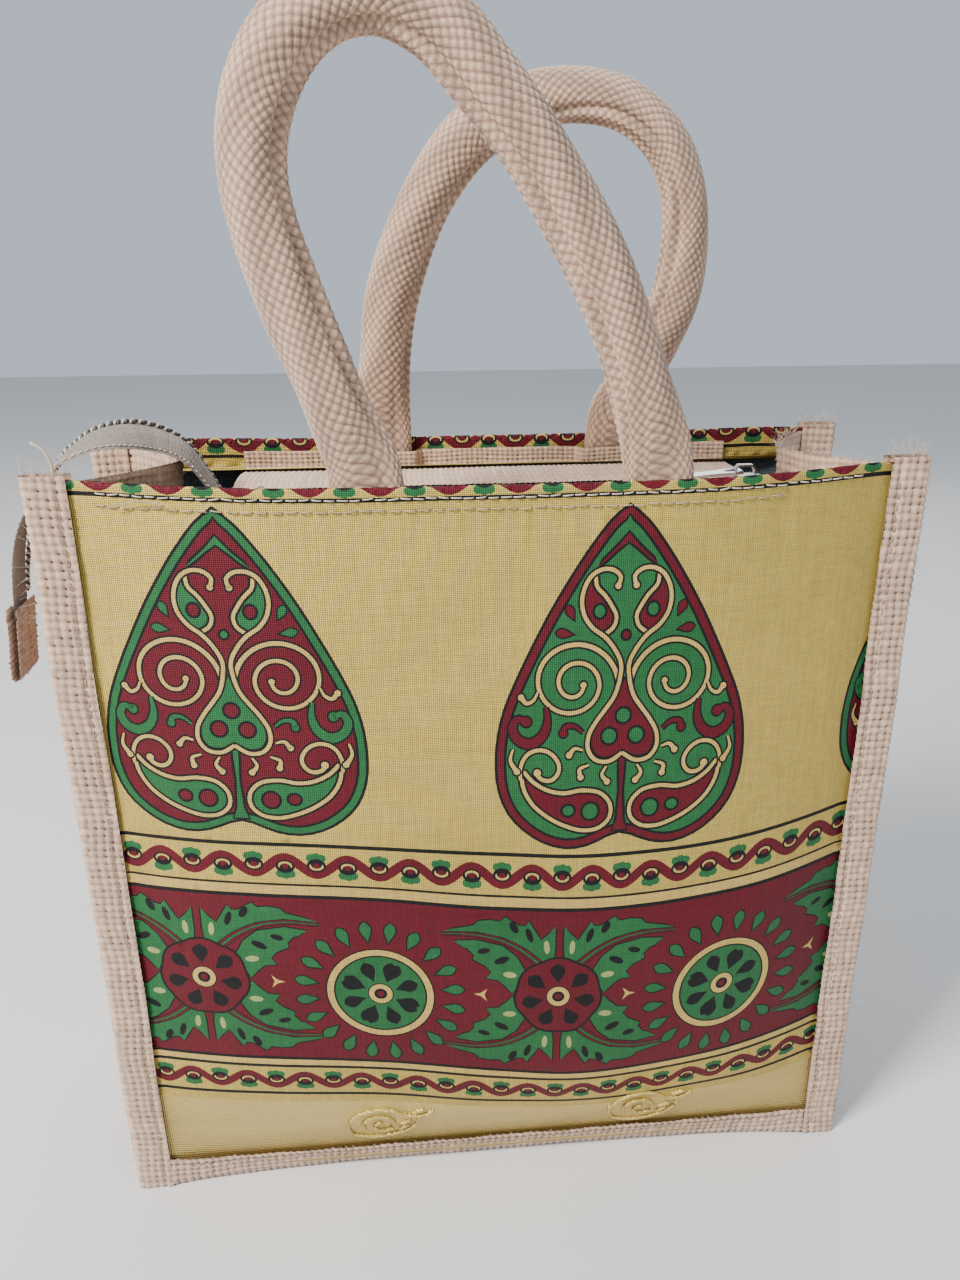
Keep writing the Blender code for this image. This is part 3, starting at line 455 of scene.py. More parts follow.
def lining_material():
    nodes = Nodes("lining cloth")
    weave = nodes.math("MULTIPLY", nodes.bands("X", 0.0011), nodes.bands("Z", 0.0011))
    shade = nodes.tint(nodes.colour(LINING_COLOUR), weave, 0.72, 1.35)
    shade = nodes.tint(shade, nodes.noise(60.0), 0.85, 1.10)
    return nodes.finish(shade, weave, 0.0002, 0.85, sheen=0.1)


def grained_material(name, colour, grain, shades, relief, bump, roughness, sheen=0.0):
    """One plain stuff, a little uneven in its colour and its surface."""
    nodes = Nodes(name)
    shade = nodes.tint(nodes.colour(colour), nodes.noise(grain), *shades)
    return nodes.finish(shade, nodes.noise(relief), bump, roughness, sheen=sheen)


def thread_material(name, colour, roughness=0.6):
    return grained_material(name, colour, 1500.0, (0.72, 1.2), 4000.0, 0.00008, roughness, 0.15)


def metal_material():
    """Bright plated metal with fine scratches."""
    nodes = Nodes("plated metal")
    scratches = nodes.noise(1400.0, 4.0, (0.08, 1.0, 1.0))
    shade = nodes.tint(nodes.colour(METAL_COLOUR), scratches, 0.85, 1.1)
    return nodes.finish(shade, scratches, 0.00003, 0.22, 1.0)


def make_materials():
    return {
        "gold": print_material("brocade gold", GOLD, 0.45, 0.44, 0.34),
        "red": print_material("brocade red", RED),
        "green": print_material("brocade green", GREEN),
        "black": print_material("brocade black", BLACK, 0.0, 0.6),
        "line": print_material("brocade line gold", LINE_GOLD, 0.15, 0.5),
        "zari": zari_material("metallic thread strip", ZARI, 0.0011),
        "leaf light": print_material("brocade leaf light", LEAF_LIGHT),
        "motif": zari_material("metallic thread motif", MOTIF_GOLD, 0.0006),
        "lining": lining_material(),
        "jute": yarn_material("jute", JUTE_GAP_SHADE, JUTE_LIT_CREST),
        "webbing": yarn_material("jute webbing", WEBBING_GAP_SHADE, WEBBING_LIT_CREST),
        "tape": yarn_material("zip tape", TAPE_GAP_SHADE, TAPE_LIT_CREST, 0.8),
        "thread": thread_material("sewing thread", THREAD_COLOUR),
        "seam thread": thread_material("seam thread", SEAM_THREAD_COLOUR),
        "fibre": thread_material("jute fibre", FIBRE_COLOUR, 0.8),
        "coil": grained_material("coil nylon", COIL_COLOUR, 800.0, (0.7, 1.5), 3000.0, 0.00004, 0.38),
        "metal": metal_material(),
    }


# Meshes


def make_mesh(name, points, faces, materials, face_materials=None, attributes=None):
    mesh = bpy.data.meshes.new(name)
    mesh.from_pydata(np.asarray(points, float).reshape(-1, 3), [], faces)
    mesh.polygons.foreach_set("use_smooth", np.ones(len(mesh.polygons), bool))
    for material in materials:
        mesh.materials.append(material)
    if face_materials is not None:
        mesh.polygons.foreach_set("material_index", np.asarray(face_materials, np.int32))
    for key, values in (attributes or {}).items():
        layer = mesh.attributes.new(key, "FLOAT", "POINT")
        layer.data.foreach_set("value", np.asarray(values, np.float32).ravel())
    mesh.update()
    obj = bpy.data.objects.new(name, mesh)
    bpy.context.scene.collection.objects.link(obj)
    return obj


def grid_faces(rows, columns, wrap=False):
    """Quads of a grid of points, row by row; wrap joins the last column to the first."""
    spans = columns if wrap else columns - 1
    row, column = np.meshgrid(np.arange(rows - 1), np.arange(spans), indexing="ij")
    corner = row * columns + column
    beside = row * columns + (column + 1) % columns
    return np.stack([corner, beside, beside + columns, corner + columns], axis=-1).reshape(-1, 4)


def grid_normals(points, wrap=False):
    along = np.gradient(points, axis=0)
    if wrap:
        across = np.roll(points, -1, axis=1) - np.roll(points, 1, axis=1)
    else:
        across = np.gradient(points, axis=1)
    return unit(np.cross(across, along))


def spread(start, end, step):
    return np.linspace(start, end, max(2, int(round(abs(end - start) / step)) + 1))


def plain_weave(u, v, yarn, seed):
    """Relief of a plain weave above the cloth's middle, its share from 0 to 1, and each yarn's own shade."""
    pitch_u, pitch_v, thick, uneven = yarn
    rng = np.random.default_rng(seed)
    own = rng.uniform(-1, 1, (2, OWN_YARNS))
    phase = rng.uniform(0, math.tau, 4)
    a = u / pitch_u + uneven * (0.5 * np.sin(v / 0.011 + phase[0]) + 0.35 * np.sin(v / 0.0043 + phase[1]))
    b = v / pitch_v + uneven * (0.5 * np.sin(u / 0.013 + phase[2]) + 0.35 * np.sin(u / 0.0051 + phase[3]))
    column, row = np.floor(a).astype(int), np.floor(b).astype(int)
    across_a, across_b = a - column - 0.5, b - row - 0.5
    over = np.where((column + row) % 2 == 0, 1.0, -1.0)
    own_a, own_b = own[0][column % OWN_YARNS], own[1][row % OWN_YARNS]
    half_a, half_b = 0.46 + 0.15 * uneven * own_a, 0.46 + 0.15 * uneven * own_b
    dome_a = np.sqrt(np.clip(1 - (across_a / half_a) ** 2, 0, 1))
    dome_b = np.sqrt(np.clip(1 - (across_b / half_b) ** 2, 0, 1))
    warp = np.where(dome_a > 0, thick * (dome_a + over * np.cos(math.pi * across_b)), -thick)
    weft = np.where(dome_b > 0, thick * (dome_b - over * np.cos(math.pi * across_a)), -thick)
    height = np.maximum(warp, weft)
    # Share of the relief; the yarn material paints shade in its gaps and a highlight on its crests from it
    relief = np.clip((height / thick + 1.0) / 3.0, 0, 1)
    shade = np.where(warp > weft, own_a, own_b) * 0.5 + 0.5
    return height, relief, shade


def woven(name, u, v, place, yarn, material, seed=0, dent=None, flip=1.0):
    """Cloth with real yarns: place(U, V) gives its middle surface for cloth coordinates in metres."""
    grid_u, grid_v = np.meshgrid(u, v)
    middle = place(grid_u, grid_v)
    height, relief, shade = plain_weave(grid_u, grid_v, yarn, seed)
    if dent is not None:
        height = height - dent(grid_u, grid_v)
    points = middle + grid_normals(middle) * (flip * height)[..., None]
    faces = grid_faces(len(v), len(u))
    return make_mesh(name, points, faces, [material], None, {"relief": relief, "yarn": shade})


def tubes(name, paths, radius, material, sides=6, taper=False):
    """Round threads along the given paths, all in one mesh, with closed ends."""
    points, faces = [], []
    angle = np.arange(sides) * math.tau / sides
    for path in paths:
        path = np.asarray(path, float)
        ahead = unit(np.gradient(path, axis=0))
        level = np.where(np.abs(ahead[:, 2:3]) > 0.9, [[1.0, 0.0, 0.0]], [[0.0, 0.0, 1.0]])
        first = unit(np.cross(ahead, level))
        second = np.cross(ahead, first)
        size = radius * (1 - np.linspace(0, 1, len(path)) * 0.8 if taper else np.ones(len(path)))
        cosine, sine = np.cos(angle)[None, :, None], np.sin(angle)[None, :, None]
        ring = first[:, None] * cosine + second[:, None] * sine
        base = sum(len(part) for part in points)
        points.append((path[:, None] + ring * size[:, None, None]).reshape(-1, 3))
        faces += (grid_faces(len(path), sides, wrap=True) + base).tolist()
        faces.append([base + index for index in reversed(range(sides))])
        faces.append([base + (len(path) - 1) * sides + index for index in range(sides)])
    return make_mesh(name, np.concatenate(points), faces, [material])


def settle(obj, body, slot, *nodes):
    """Puts a finished piece on its body and hides the CAD nodes it stands for; slot, the name of its finish,
    is not used.
    """
    if body:
        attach(obj, body)
    if nodes:
        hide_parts(*nodes)
    return obj


# Printed ornament


class Drawing:
    """Flat shapes in millimetres of cloth, painted in order."""

    def __init__(self):
        self.shapes = []

    def fill(self, points, colour):
        self.shapes.append((np.asarray(points, float), colour))

    def stroke(self, points, width, colour):
        """A line of one width, or of a width for each end."""
        points = np.asarray(points, float)
        knots = np.atleast_1d(width)
        widths = np.interp(np.linspace(0, 1, len(points)), np.linspace(0, 1, len(knots)), knots)
        aside = unit(np.gradient(points, axis=0))[:, ::-1] * (-1, 1) * widths[:, None] / 2
        for index in range(len(points) - 1):
            ends = points[[index, index + 1]]
            offset = aside[[index, index + 1]]
            self.fill(np.concatenate([ends + offset, (ends - offset)[::-1]]), colour)

    def outlined(self, points, colour, line="black", width=0.8):
        """A filled shape with a line round it."""
        centre = points.mean(axis=0)
        size = np.linalg.norm(points - centre, axis=1).mean()
        self.fill(grow(points, width / 2), line)
        if size > width:
            self.fill(grow(points, -width / 2), colour)

    def cased(self, points, width, colour, case=0.75):
        """A stroke in a thin black case."""
        widths = np.atleast_1d(width).astype(float)
        self.stroke(points, widths + 2 * case, "black")
        self.stroke(points, widths, colour)

    def blobbed(self, points, width, blob, colour, case=0.6):
        """A cased stroke that ends in a round blob."""
        self.fill(ellipse(points[-1], blob / 2 + case, blob / 2 + case, 12), "black")
        self.cased(points, width, colour, case)
        self.fill(ellipse(points[-1], blob / 2, blob / 2, 12), colour)


def grow(points, amount):
    """A closed outline moved outward, or inward if amount is negative."""
    ahead = unit(np.roll(points, -1, axis=0) - np.roll(points, 1, axis=0))
    outward = ahead[:, ::-1] * (1, -1)
    return points + outward * amount * (1 if turning(points) > 0 else -1)


def turning(points):
    """Positive for an outline that runs anticlockwise."""
    x, y = points.T
    return np.sum(x * np.roll(y, -1) - y * np.roll(x, -1))


def heading(degrees):
    return np.array([math.cos(math.radians(degrees)), math.sin(math.radians(degrees))])


def ellipse(centre, radius_x, radius_y, count=18, turn_deg=0.0):
    angle = np.arange(count) * math.tau / count
    x, y = radius_x * np.cos(angle), radius_y * np.sin(angle)
    cosine, sine = heading(turn_deg)
    return np.stack([x * cosine - y * sine, x * sine + y * cosine], axis=1) + np.asarray(centre, float)


def teardrop(tip, round_end, width, count=16):
    """A drop from its sharp tip to its round end."""
    tip, round_end = np.asarray(tip, float), np.asarray(round_end, float)
    length = np.linalg.norm(round_end - tip)
    along = (round_end - tip) / length
    across = np.array([-along[1], along[0]])
    t = np.linspace(0, 1, count // 2 + 1)
    half = width / 2 * np.sin(math.pi * t**1.6) ** 0.8
    edge = tip + along * (t * length)[:, None]
    return np.concatenate([edge + across * half[:, None], (edge - across * half[:, None])[-2:0:-1]])


def spiral(centre, turns, count):
    """Points round a centre through (angle in degrees, radius) knots.

    An angle of 0 points to the leaf's axis and 90 to its tip.
    """
    angle = np.linspace(turns[0][0], turns[-1][0], count)
    knots = turns if turns[0][0] < turns[-1][0] else turns[::-1]
    radius = smooth_curve(knots, angle)
    turn = np.radians(angle)
    return np.stack([centre[0] - radius * np.cos(turn), centre[1] - radius * np.sin(turn)], axis=1)


LEAF_EDGE = [
    (0.0, 0.0), (4.5, 3.4), (11.5, 11.7), (17.9, 21.0), (23.4, 30.0), (28.8, 40.0), (33.8, 50.0),
    (37.7, 59.0), (39.8, 67.0), (40.6, 76.0), (40.0, 84.0), (36.6, 92.5), (31.0, 98.3), (24.5, 102.0),
    (17.0, 103.6), (9.5, 102.4), (3.5, 99.8), (0.0, 98.9),
]
LEAF_LINE = [
    (2.8, 23.7), (2.1, 21.2), (4.1, 19.2), (7.0, 18.7), (10.4, 20.0), (13.0, 23.7), (13.8, 27.9),
    (12.9, 32.1), (10.5, 35.4), (6.5, 38.3), (3.3, 42.1), (1.3, 46.2), (1.6, 51.2), (3.2, 56.2),
    (5.6, 59.6), (8.7, 63.7), (10.9, 67.9), (10.9, 72.1), (8.7, 75.0), (4.6, 75.8), (0.0, 73.3),
]
LEAF_SPADE = [
    (0.0, 50.5), (1.5, 53.0), (3.6, 57.0), (8.0, 63.5), (10.0, 68.0), (9.9, 71.4), (8.0, 74.0), (4.6, 74.6),
    (0.0, 72.4),
]
LEAF_PAISLEY = [
    (31.7, 83.0), (28.9, 88.5), (24.0, 92.7), (17.3, 96.0), (11.6, 97.4), (6.6, 96.6), (3.4, 93.5),
    (3.3, 89.3), (6.2, 85.8), (12.4, 84.4), (19.0, 85.2), (24.0, 84.2), (28.6, 81.6), (31.8, 78.5),
]
LEAF_SPIRAL = [
    (-5, 14.0), (45, 12.3), (90, 11.5), (180, 11.2), (225, 10.0), (270, 8.9), (360, 7.9), (450, 6.0),
    (540, 4.8), (630, 4.1), (710, 3.0),
]
LEAF_SMALL_SPIRAL = [
    (205, 7.3), (170, 6.7), (135, 6.6), (90, 6.2), (50, 5.8), (5, 5.6), (-35, 4.6), (-80, 3.0),
    (-150, 1.6),
]
LEAF_HOOK = [
    (24.4, 58.7), (24.0, 63.7), (25.8, 67.9), (29.8, 70.0), (33.6, 68.3), (34.9, 64.8), (33.2, 62.3),
    (30.6, 63.2),
]
LEAF_SMALL_HOOK = [(12.6, 66.7), (15.4, 64.7), (18.4, 65.0), (18.9, 66.8)]
LEAF_CHEVRON = [(0, 8.2), (3.7, 12.2), (7.9, 16.0), (9.4, 18.5), (6.2, 16.4), (3.2, 13.8), (0, 11.4)]
LEAF_STEM = [(-1.3, 74), (-0.8, 85), (-1.4, 94), (-2.6, 98), (2.6, 98), (1.4, 94), (0.8, 85), (1.3, 74)]
LEAF_DROP = [
    (10.0, 21.5), (12.4, 24.5), (13.0, 28.0), (12.2, 31.8), (9.9, 34.7), (6.8, 36.4), (4.4, 34.6),
    (3.9, 32.4), (5.2, 29.7), (7.6, 26.9), (9.4, 24.4),
]
LEAF_DROP_LINE = [(9.8, 20.6), (9.3, 23.7), (6.9, 26.2), (4.5, 29.6), (3.1, 32.5), (3.9, 35.4), (6.5, 37.4)]
LEAF_SEEDS = (((15.8, 33.6), (18.4, 28.6)), ((15.6, 37.4), (21.9, 36.6)))
LEAF_DOTS = (((8.3, 30.8), 2.0, 2.2, 12), ((4.3, 68.0), 2.6, 2.6, 14))
PAISLEY_DOTS = (((17.0, 90.8), 2.2, 2.0, 12), ((9.8, 91.2), 2.9, 2.9, 14))
LEAF_GOLD_CURLS = [
    [(27.1, 54.2), (28.4, 56.7), (30.5, 57.6), (32.2, 55.8)],
    [(12.6, 72.0), (15.2, 71.5), (17.0, 73.5)],
    [(34.8, 71.7), (35.6, 75.2), (33.6, 78.6)],
    [(10.6, 76.6), (13.6, 78.0), (13.2, 80.3)],
    [(5.0, 77.2), (6.3, 79.8), (4.6, 82.0)],
]


def draw_leaf(drawing, centre_x, tip_height, field, accent):
    """A pointed leaf filled with scrolls, mirrored about its stem."""

    def on_cloth(points, hand=1):
        points = np.asarray(points, float)
        return np.stack([centre_x + hand * points[:, 0], tip_height - points[:, 1]], axis=1)

    half = smooth_line(LEAF_EDGE, 40)
    outline = on_cloth(np.concatenate([half, half[-2:0:-1] * (-1, 1)]))
    drawing.fill(outline, "black")
    for inset, colour in ((0.9, accent), (2.9, "black"), (3.7, field)):
        drawing.fill(grow(outline, -inset), colour)
    chevron = LEAF_CHEVRON + [(-x, depth) for x, depth in reversed(LEAF_CHEVRON[1:-1])]
    drawing.outlined(on_cloth(chevron), accent)
    drawing.outlined(on_cloth(ellipse((0, 37.9), 1.5, 1.5, 10)), accent)
    drawing.outlined(on_cloth(LEAF_STEM), accent)
    spade = smooth_line(LEAF_SPADE, 22)
    drawing.outlined(on_cloth(np.concatenate([spade, spade[-2:0:-1] * (-1, 1)])), accent)
    drawing.outlined(on_cloth(ellipse((0, 61.9), 2.5, 2.5, 14)), field)
    for hand in (-1, 1):
        draw_leaf_half(drawing, lambda points: on_cloth(points, hand), field, accent)


def draw_leaf_half(drawing, on_cloth, field, accent):
    """The scrolls on one side of a leaf's stem."""

    def curve(points, count):
        return on_cloth(smooth_line(points, count))

    drawing.fill(on_cloth(smooth_line(LEAF_DROP, 26, closed=True)), accent)
    drawing.cased(curve(LEAF_DROP_LINE, 18), 1.1, "line")
    drawing.blobbed(on_cloth(spiral((15.8, 51.7), LEAF_SPIRAL, 90)), (1.4, 1.2, 1.2, 1.1), 1.9, "line")
    drawing.blobbed(curve(LEAF_LINE[::-1], 64), 1.2, 1.9, "line")
    for dot in LEAF_DOTS:
        drawing.outlined(on_cloth(ellipse(*dot)), field)
    for tip, round_end in LEAF_SEEDS:
        drawing.outlined(on_cloth(teardrop(tip, round_end, 2.9)), accent, width=0.5)
    drawing.blobbed(curve(LEAF_HOOK, 26), (0.9, 2.4, 3.0, 2.6, 1.5), 3.0, accent)
    drawing.blobbed(curve(LEAF_SMALL_HOOK, 10), (0.6, 1.7), 2.3, accent)
    paisley = smooth_line(LEAF_PAISLEY, 54, closed=True)
    for reach, colour in ((1.3, "black"), (0.6, "line"), (-0.6, "black"), (-1.3, accent)):
        drawing.fill(on_cloth(grow(paisley, reach)), colour)
    for dot in PAISLEY_DOTS:
        drawing.outlined(on_cloth(ellipse(*dot)), field)
    drawing.blobbed(on_cloth(spiral((25.7, 78.1), LEAF_SMALL_SPIRAL, 40)), (1.1, 1.2, 1.3), 2.4, "line")
    for curl in LEAF_GOLD_CURLS:
        drawing.blobbed(curve(curl, 10), (0.6, 1.5), 2.0, "line")


def draw_eye_border(drawing, middle, scale, start, count, pitch):
    """A wavy ribbon over and under a row of small eyes, with a tuft on each eye's free side."""
    wave = [(start + pitch * index, middle + (-2.9, 2.9)[index % 2] * scale) for index in range(count)]
    drawing.stroke(smooth_line(wave, count * 7), 3.3 * scale, "red")
    for index in range(count):
        x, up = start + pitch * index, (1, -1)[index % 2]
        for offset, size in ((-1.7, 1.5), (0.0, 1.9), (1.7, 1.5)):
            drawing.fill(ellipse((x + offset, middle + 3.0 * up * scale), size, size * scale, 9), "green")
        eye = (x, middle + 0.3 * up * scale)
        drawing.fill(ellipse(eye, 3.1, 2.4 * scale, 14), "black")
        drawing.fill(ellipse((x, eye[1] - 0.3 * up * scale), 2.3, 1.5 * scale, 12), "line")
        drawing.fill(ellipse((x, eye[1] + 0.5 * up * scale), 1.9, 1.6 * scale, 10), "black")
        drawing.fill(ellipse((x, eye[1] - 0.1 * up * scale), 1.1, 1.0 * scale, 9), "red")


RIB_STROKES = (((3.4, 1.6), "black"), ((2.7, 1.0), "red"), ((1.3, 0.5), "black"), ((0.8, 0.2), "green"))
SPRAY_RIB = [(6.1, 12.1), (11.9, 17.1), (19.4, 21.3), (28.6, 23.3), (40.3, 22.9)]
SPRAY_UPPER = [
    (1.9, 12.9), (1.2, 19.0), (1.3, 27.4), (4.0, 24.6), (6.3, 22.3), (8.4, 25.8), (10.5, 29.2),
    (12.0, 27.4), (14.0, 27.6), (18.6, 30.6), (20.5, 28.9), (24.0, 29.4), (27.8, 28.8), (29.5, 27.0),
    (36.0, 25.4), (40.3, 23.3), (28.6, 24.4), (19.4, 22.6), (11.9, 18.7), (6.1, 13.6),
]
SPRAY_LOWER = [
    (11.5, 10.0), (14.5, 15.5), (19.4, 19.6), (28.6, 21.6), (36.0, 20.6), (33.2, 18.0), (31.6, 17.6),
    (29.4, 15.2), (29.8, 13.4), (25.6, 11.2), (23.6, 8.9), (25.3, 6.2), (21.2, 5.6), (18.4, 3.0),
    (16.1, 0.4), (14.4, 3.4), (13.6, 6.3),
]
# Spots as (middle, half width, half height, points, turn)
SPRAY_SPOTS = [
    ((10.4, 23.8), 1.1, 2.8, 12, -18), ((15.7, 26.6), 1.3, 2.4, 12, -28), ((19.8, 13.8), 2.8, 1.3, 12, -25),
    ((25.9, 17.2), 2.2, 1.1, 12, -15),
]
SPRAY_LIGHTS = [((4.4, 19.4), 1.0, 2.6, 10, -5), ((17.0, 8.2), 2.4, 1.2, 10, 5)]
STAR = [(3.0, 0.0), (0.5, 0.7), (-1.6, 2.6), (-0.6, 0.0), (-1.6, -2.6), (0.5, -0.7)]
# Straight bands of the cloth as (lower edge, upper edge, colour), in the order they are printed
BANDS = (
    (0.0, 46.5, "zari"), (68.0, 135.0, "red"), (261.6, 262.9, "black"), (272.5, 273.7, "black"),
    (153.2, 154.5, "black"), (138.6, 139.8, "black"), (134.4, 135.8, "black"), (67.0, 68.4, "black"),
    (63.6, 64.8, "black"), (50.2, 51.5, "black"), (135.7, 139.0, "line"), (64.9, 67.2, "line"),
)
BAND_HALF = 130.0
LEAVES = ((-81.0, 260.6, "red", "green"), (39.2, 259.8, "green", "red"), (156.0, 260.6, "red", "green"))
# Eye borders as (middle, scale, first eye, number of eyes)
EYE_BORDERS = ((146.4, 1.0, -138.4, 28), (57.6, 0.92, -138.4, 28), (267.6, 0.98, -133.0, 27))
EYE_PITCH = 9.95
FLOWERS = ((-99.5, 101.6), (20.5, 101.6), (140.5, 101.6))
MEDALLIONS = ((-40.5, 98.0), (79.5, 98.0))
PRINT_COLOURS = ["gold", "red", "green", "black", "line", "zari", "leaf light"]
# How far the print hangs below its straight lay, by x, and the share of that at each height, in millimetres
PRINT_SAG = [
    (-130, -3.5), (-100, -1.5), (-80, -0.8), (-40, -3.4), (0, -9.9), (25, -13.0), (50, -13.0),
    (80, -10.8), (125, -7.0),
]
PRINT_SAG_SHARE = [
    (0, 1.25), (51, 1.25), (68, 1.25), (100, 1.1), (135, 0.9), (154, 0.75), (200, 0.35), (261, 0.0),
    (300, 0.0),
]


def draw_spray(drawing, centre, flip_x, flip_y):
    """One curved rib with serrated leaves on both sides, in one quarter round a flower."""

    def on_cloth(points):
        return np.asarray(points, float) * (flip_x, flip_y) + centre

    for leaf in (SPRAY_UPPER, SPRAY_LOWER):
        drawing.outlined(on_cloth(leaf), "green", width=0.5)
    rib = smooth_line(SPRAY_RIB, 22)
    for width, colour in RIB_STROKES:
        drawing.stroke(on_cloth(rib), width, colour)
    for spots, colour in ((SPRAY_SPOTS, "black"), (SPRAY_LIGHTS, "leaf light")):
        for spot in spots:
            drawing.fill(on_cloth(ellipse(*spot)), colour)


def draw_flower(drawing, centre):
    """Red flower with dark petals and four leaf sprays."""
    centre = np.asarray(centre, float)
    for flip_x in (-1, 1):
        for flip_y in (-1, 1):
            draw_spray(drawing, centre, flip_x, flip_y)
    angle = np.arange(42) * math.tau / 42
    reach = 14.6 + 0.9 * np.abs(np.cos(3.5 * (angle - math.pi / 2)))
    rim = centre + np.stack([reach * np.cos(angle), reach * np.sin(angle)], axis=1)
    drawing.outlined(rim, "red")
    for index in range(7):
        out = heading(92 + index * 360 / 7)
        drawing.fill(teardrop(centre + out * 5.4, centre + out * 13.2, 5.4), "black")
    draw_centre(drawing, centre)


def draw_centre(drawing, centre):
    for radius, colour in ((4.4, "black"), (4.0, "line"), (2.2, "black"), (1.2, "red")):
        drawing.fill(ellipse(centre, radius, radius, 20), colour)


def draw_medallion(drawing, centre):
    """Gold-rimmed green wheel of dark petals, with drops all round it."""
    centre = np.asarray(centre, float)
    for index in range(20):
        out = heading(index * 18 + 9)
        drop = teardrop(centre + out * 20.3, centre + out * 29.0, 4.2)
        drawing.outlined(drop, "green", width=0.5)
    for radius, colour in ((18.4, "black"), (17.9, "line"), (15.7, "black"), (15.1, "green")):
        drawing.fill(ellipse(centre, radius, radius, 48), colour)
    for index in range(8):
        out = heading(index * 45 + 22)
        aside = np.array([-out[1], out[0]])
        lobes, width = ((-1.3, 1.3), 4.6) if index % 2 else ((0.0,), 5.0)
        for offset in lobes:
            drawing.fill(teardrop(centre + out * 5.2, centre + out * 13.6 + aside * offset, width), "black")
    draw_centre(drawing, centre)


def draw_print():
    """The whole cloth: a metallic strip, a broad ornamental band, leaves on gold and a border at the rim."""
    drawing = Drawing()
    across = np.linspace(-BAND_HALF, BAND_HALF, 53)
    for low, high, colour in BANDS:
        drawing.fill([(x, low) for x in across] + [(x, high) for x in across[::-1]], colour)
    for leaf in LEAVES:
        draw_leaf(drawing, *leaf)
    for border in EYE_BORDERS:
        draw_eye_border(drawing, *border, EYE_PITCH)
    for centre in FLOWERS:
        draw_flower(drawing, centre)
    for x, y in MEDALLIONS:
        draw_medallion(drawing, (x, y))
        for reach in (-1, 1):
            drawing.fill(np.array(STAR) * (-reach, 1) + (x + 34.6 * reach, y + 3.0), "line")
    return drawing


def lay_print(points):
    sag = smooth_curve(PRINT_SAG, points[:, 0]) * smooth_curve(PRINT_SAG_SHARE, points[:, 1])
    return np.stack([points[:, 0], points[:, 1] + sag], axis=1)


def covered(points, outline):
    """Which points lie inside an anticlockwise outline."""
    x, y = points[:, 0, None], points[:, 1, None]
    start_x, start_y = outline.T
    end_x, end_y = np.roll(outline, -1, axis=0).T
    side = (end_x - start_x) * (y - start_y) - (x - start_x) * (end_y - start_y)
    up = (start_y <= y) & (end_y > y) & (side > 0)
    down = (start_y > y) & (end_y <= y) & (side < 0)
    return up.sum(axis=1) > down.sum(axis=1)


def print_outlines():
    """The laid shapes that reach the panel, each anticlockwise, with their colours."""
    edge = PANEL_EDGE_X / MM
    found = []
    for shape, colour in draw_print().shapes:
        laid = lay_print(shape)
        if laid[:, 0].min() < edge and laid[:, 0].max() > -edge:
            found.append((laid if turning(laid) > 0 else laid[::-1], colour))
    return found


def print_cells():
    """The laid print cut into triangles: points and triangles in millimetres, and each triangle's colour."""
    outlines = print_outlines()
    edge, low, high = PANEL_EDGE_X / MM, PANEL_BOTTOM / MM, panel_path_length() / MM
    points = [(-edge, low), (edge, low), (edge, high), (-edge, high)]
    borders = []
    for outline, _ in outlines:
        start, count = len(points), len(outline)
        points += [tuple(point) for point in outline]
        borders += [(start + index, start + (index + 1) % count) for index in range(count)]
    rows = [*np.arange(low + 1.3, 262.0, 2.4), *np.arange(262.0, 270.5, 0.4), *np.arange(271.0, high, 2.0)]
    points += [(x, y) for x in np.arange(-edge + 1.1, edge, 2.4) for y in rows]
    found = delaunay_2d_cdt([Vector(point) for point in points], borders, [[0, 1, 2, 3]], 1, 1e-4, False)
    places = np.array([tuple(point) for point in found[0]])
    cells = np.array([cell for cell in found[2] if len(cell) == 3])
    cells = cells[np.argsort(places[cells].mean(axis=1)[:, 0])]
    middles = places[cells].mean(axis=1)
    on_panel = (np.abs(middles[:, 0]) < edge) & (middles[:, 1] > low) & (middles[:, 1] < high)
    cells, middles = cells[on_panel], middles[on_panel]
    colours = np.zeros(len(cells), int)
    for outline, colour in outlines:
        first, last = np.searchsorted(middles[:, 0], [outline[:, 0].min(), outline[:, 0].max()])
        near = middles[first:last]
        picked = np.flatnonzero((near[:, 1] > outline[:, 1].min()) & (near[:, 1] < outline[:, 1].max()))
        picked = picked[covered(near[picked], outline)]
        colours[first + picked] = PRINT_COLOURS.index(colour)
    used, cells = np.unique(cells, return_inverse=True)
    return places[used], cells.reshape(-1, 3), colours


def panel_path_length():
    return FOLD_START + math.pi * FOLD_RADIUS + HEM_DEPTH - 0.001


def panel_place(side, x, along):
    """A printed panel's surface: up the face, over the rim and down inside as a hem."""
    bend = np.clip((along - FOLD_START) / FOLD_RADIUS, 0, math.pi)
    inside = np.clip(along - FOLD_START - math.pi * FOLD_RADIUS, 0, None)
    length = np.minimum(along, FOLD_START) + FOLD_RADIUS * np.sin(bend) - inside
    inset = (PANEL_INSET + HEM_INSET) / 2 - FOLD_RADIUS * np.cos(bend)
    return face_points(side, x, length, inset - ripple(x, length))


def make_panels(materials):
    points, cells, colours = print_cells()
    palette = [materials[name] for name in PRINT_COLOURS]
    for side_name, side in SIDES:
        place = panel_place(side, points[:, 0] * MM, points[:, 1] * MM)
        faces = cells if side < 0 else cells[:, ::-1]
        panel = make_mesh(f"{side_name}_printed_panel", place, faces.tolist(), palette, colours)
        settle(panel, "bag", "brocade", f"{side_name}_panel")


def make_linings(materials):
    for side_name, side in SIDES:
        x, length = np.meshgrid(spread(-SEAM_X, SEAM_X, 0.0025), spread(0.010, RIM_LENGTH - 0.003, 0.0025))
        points = face_points(side, x, length, LINING_INSET - ripple(x, length))
        lining = make_mesh(f"{side_name}_lining_cloth", points, grid_faces(*x.shape), [materials["lining"]])
        settle(lining, "bag", "lining", f"{side_name}_lining")


# Jute body


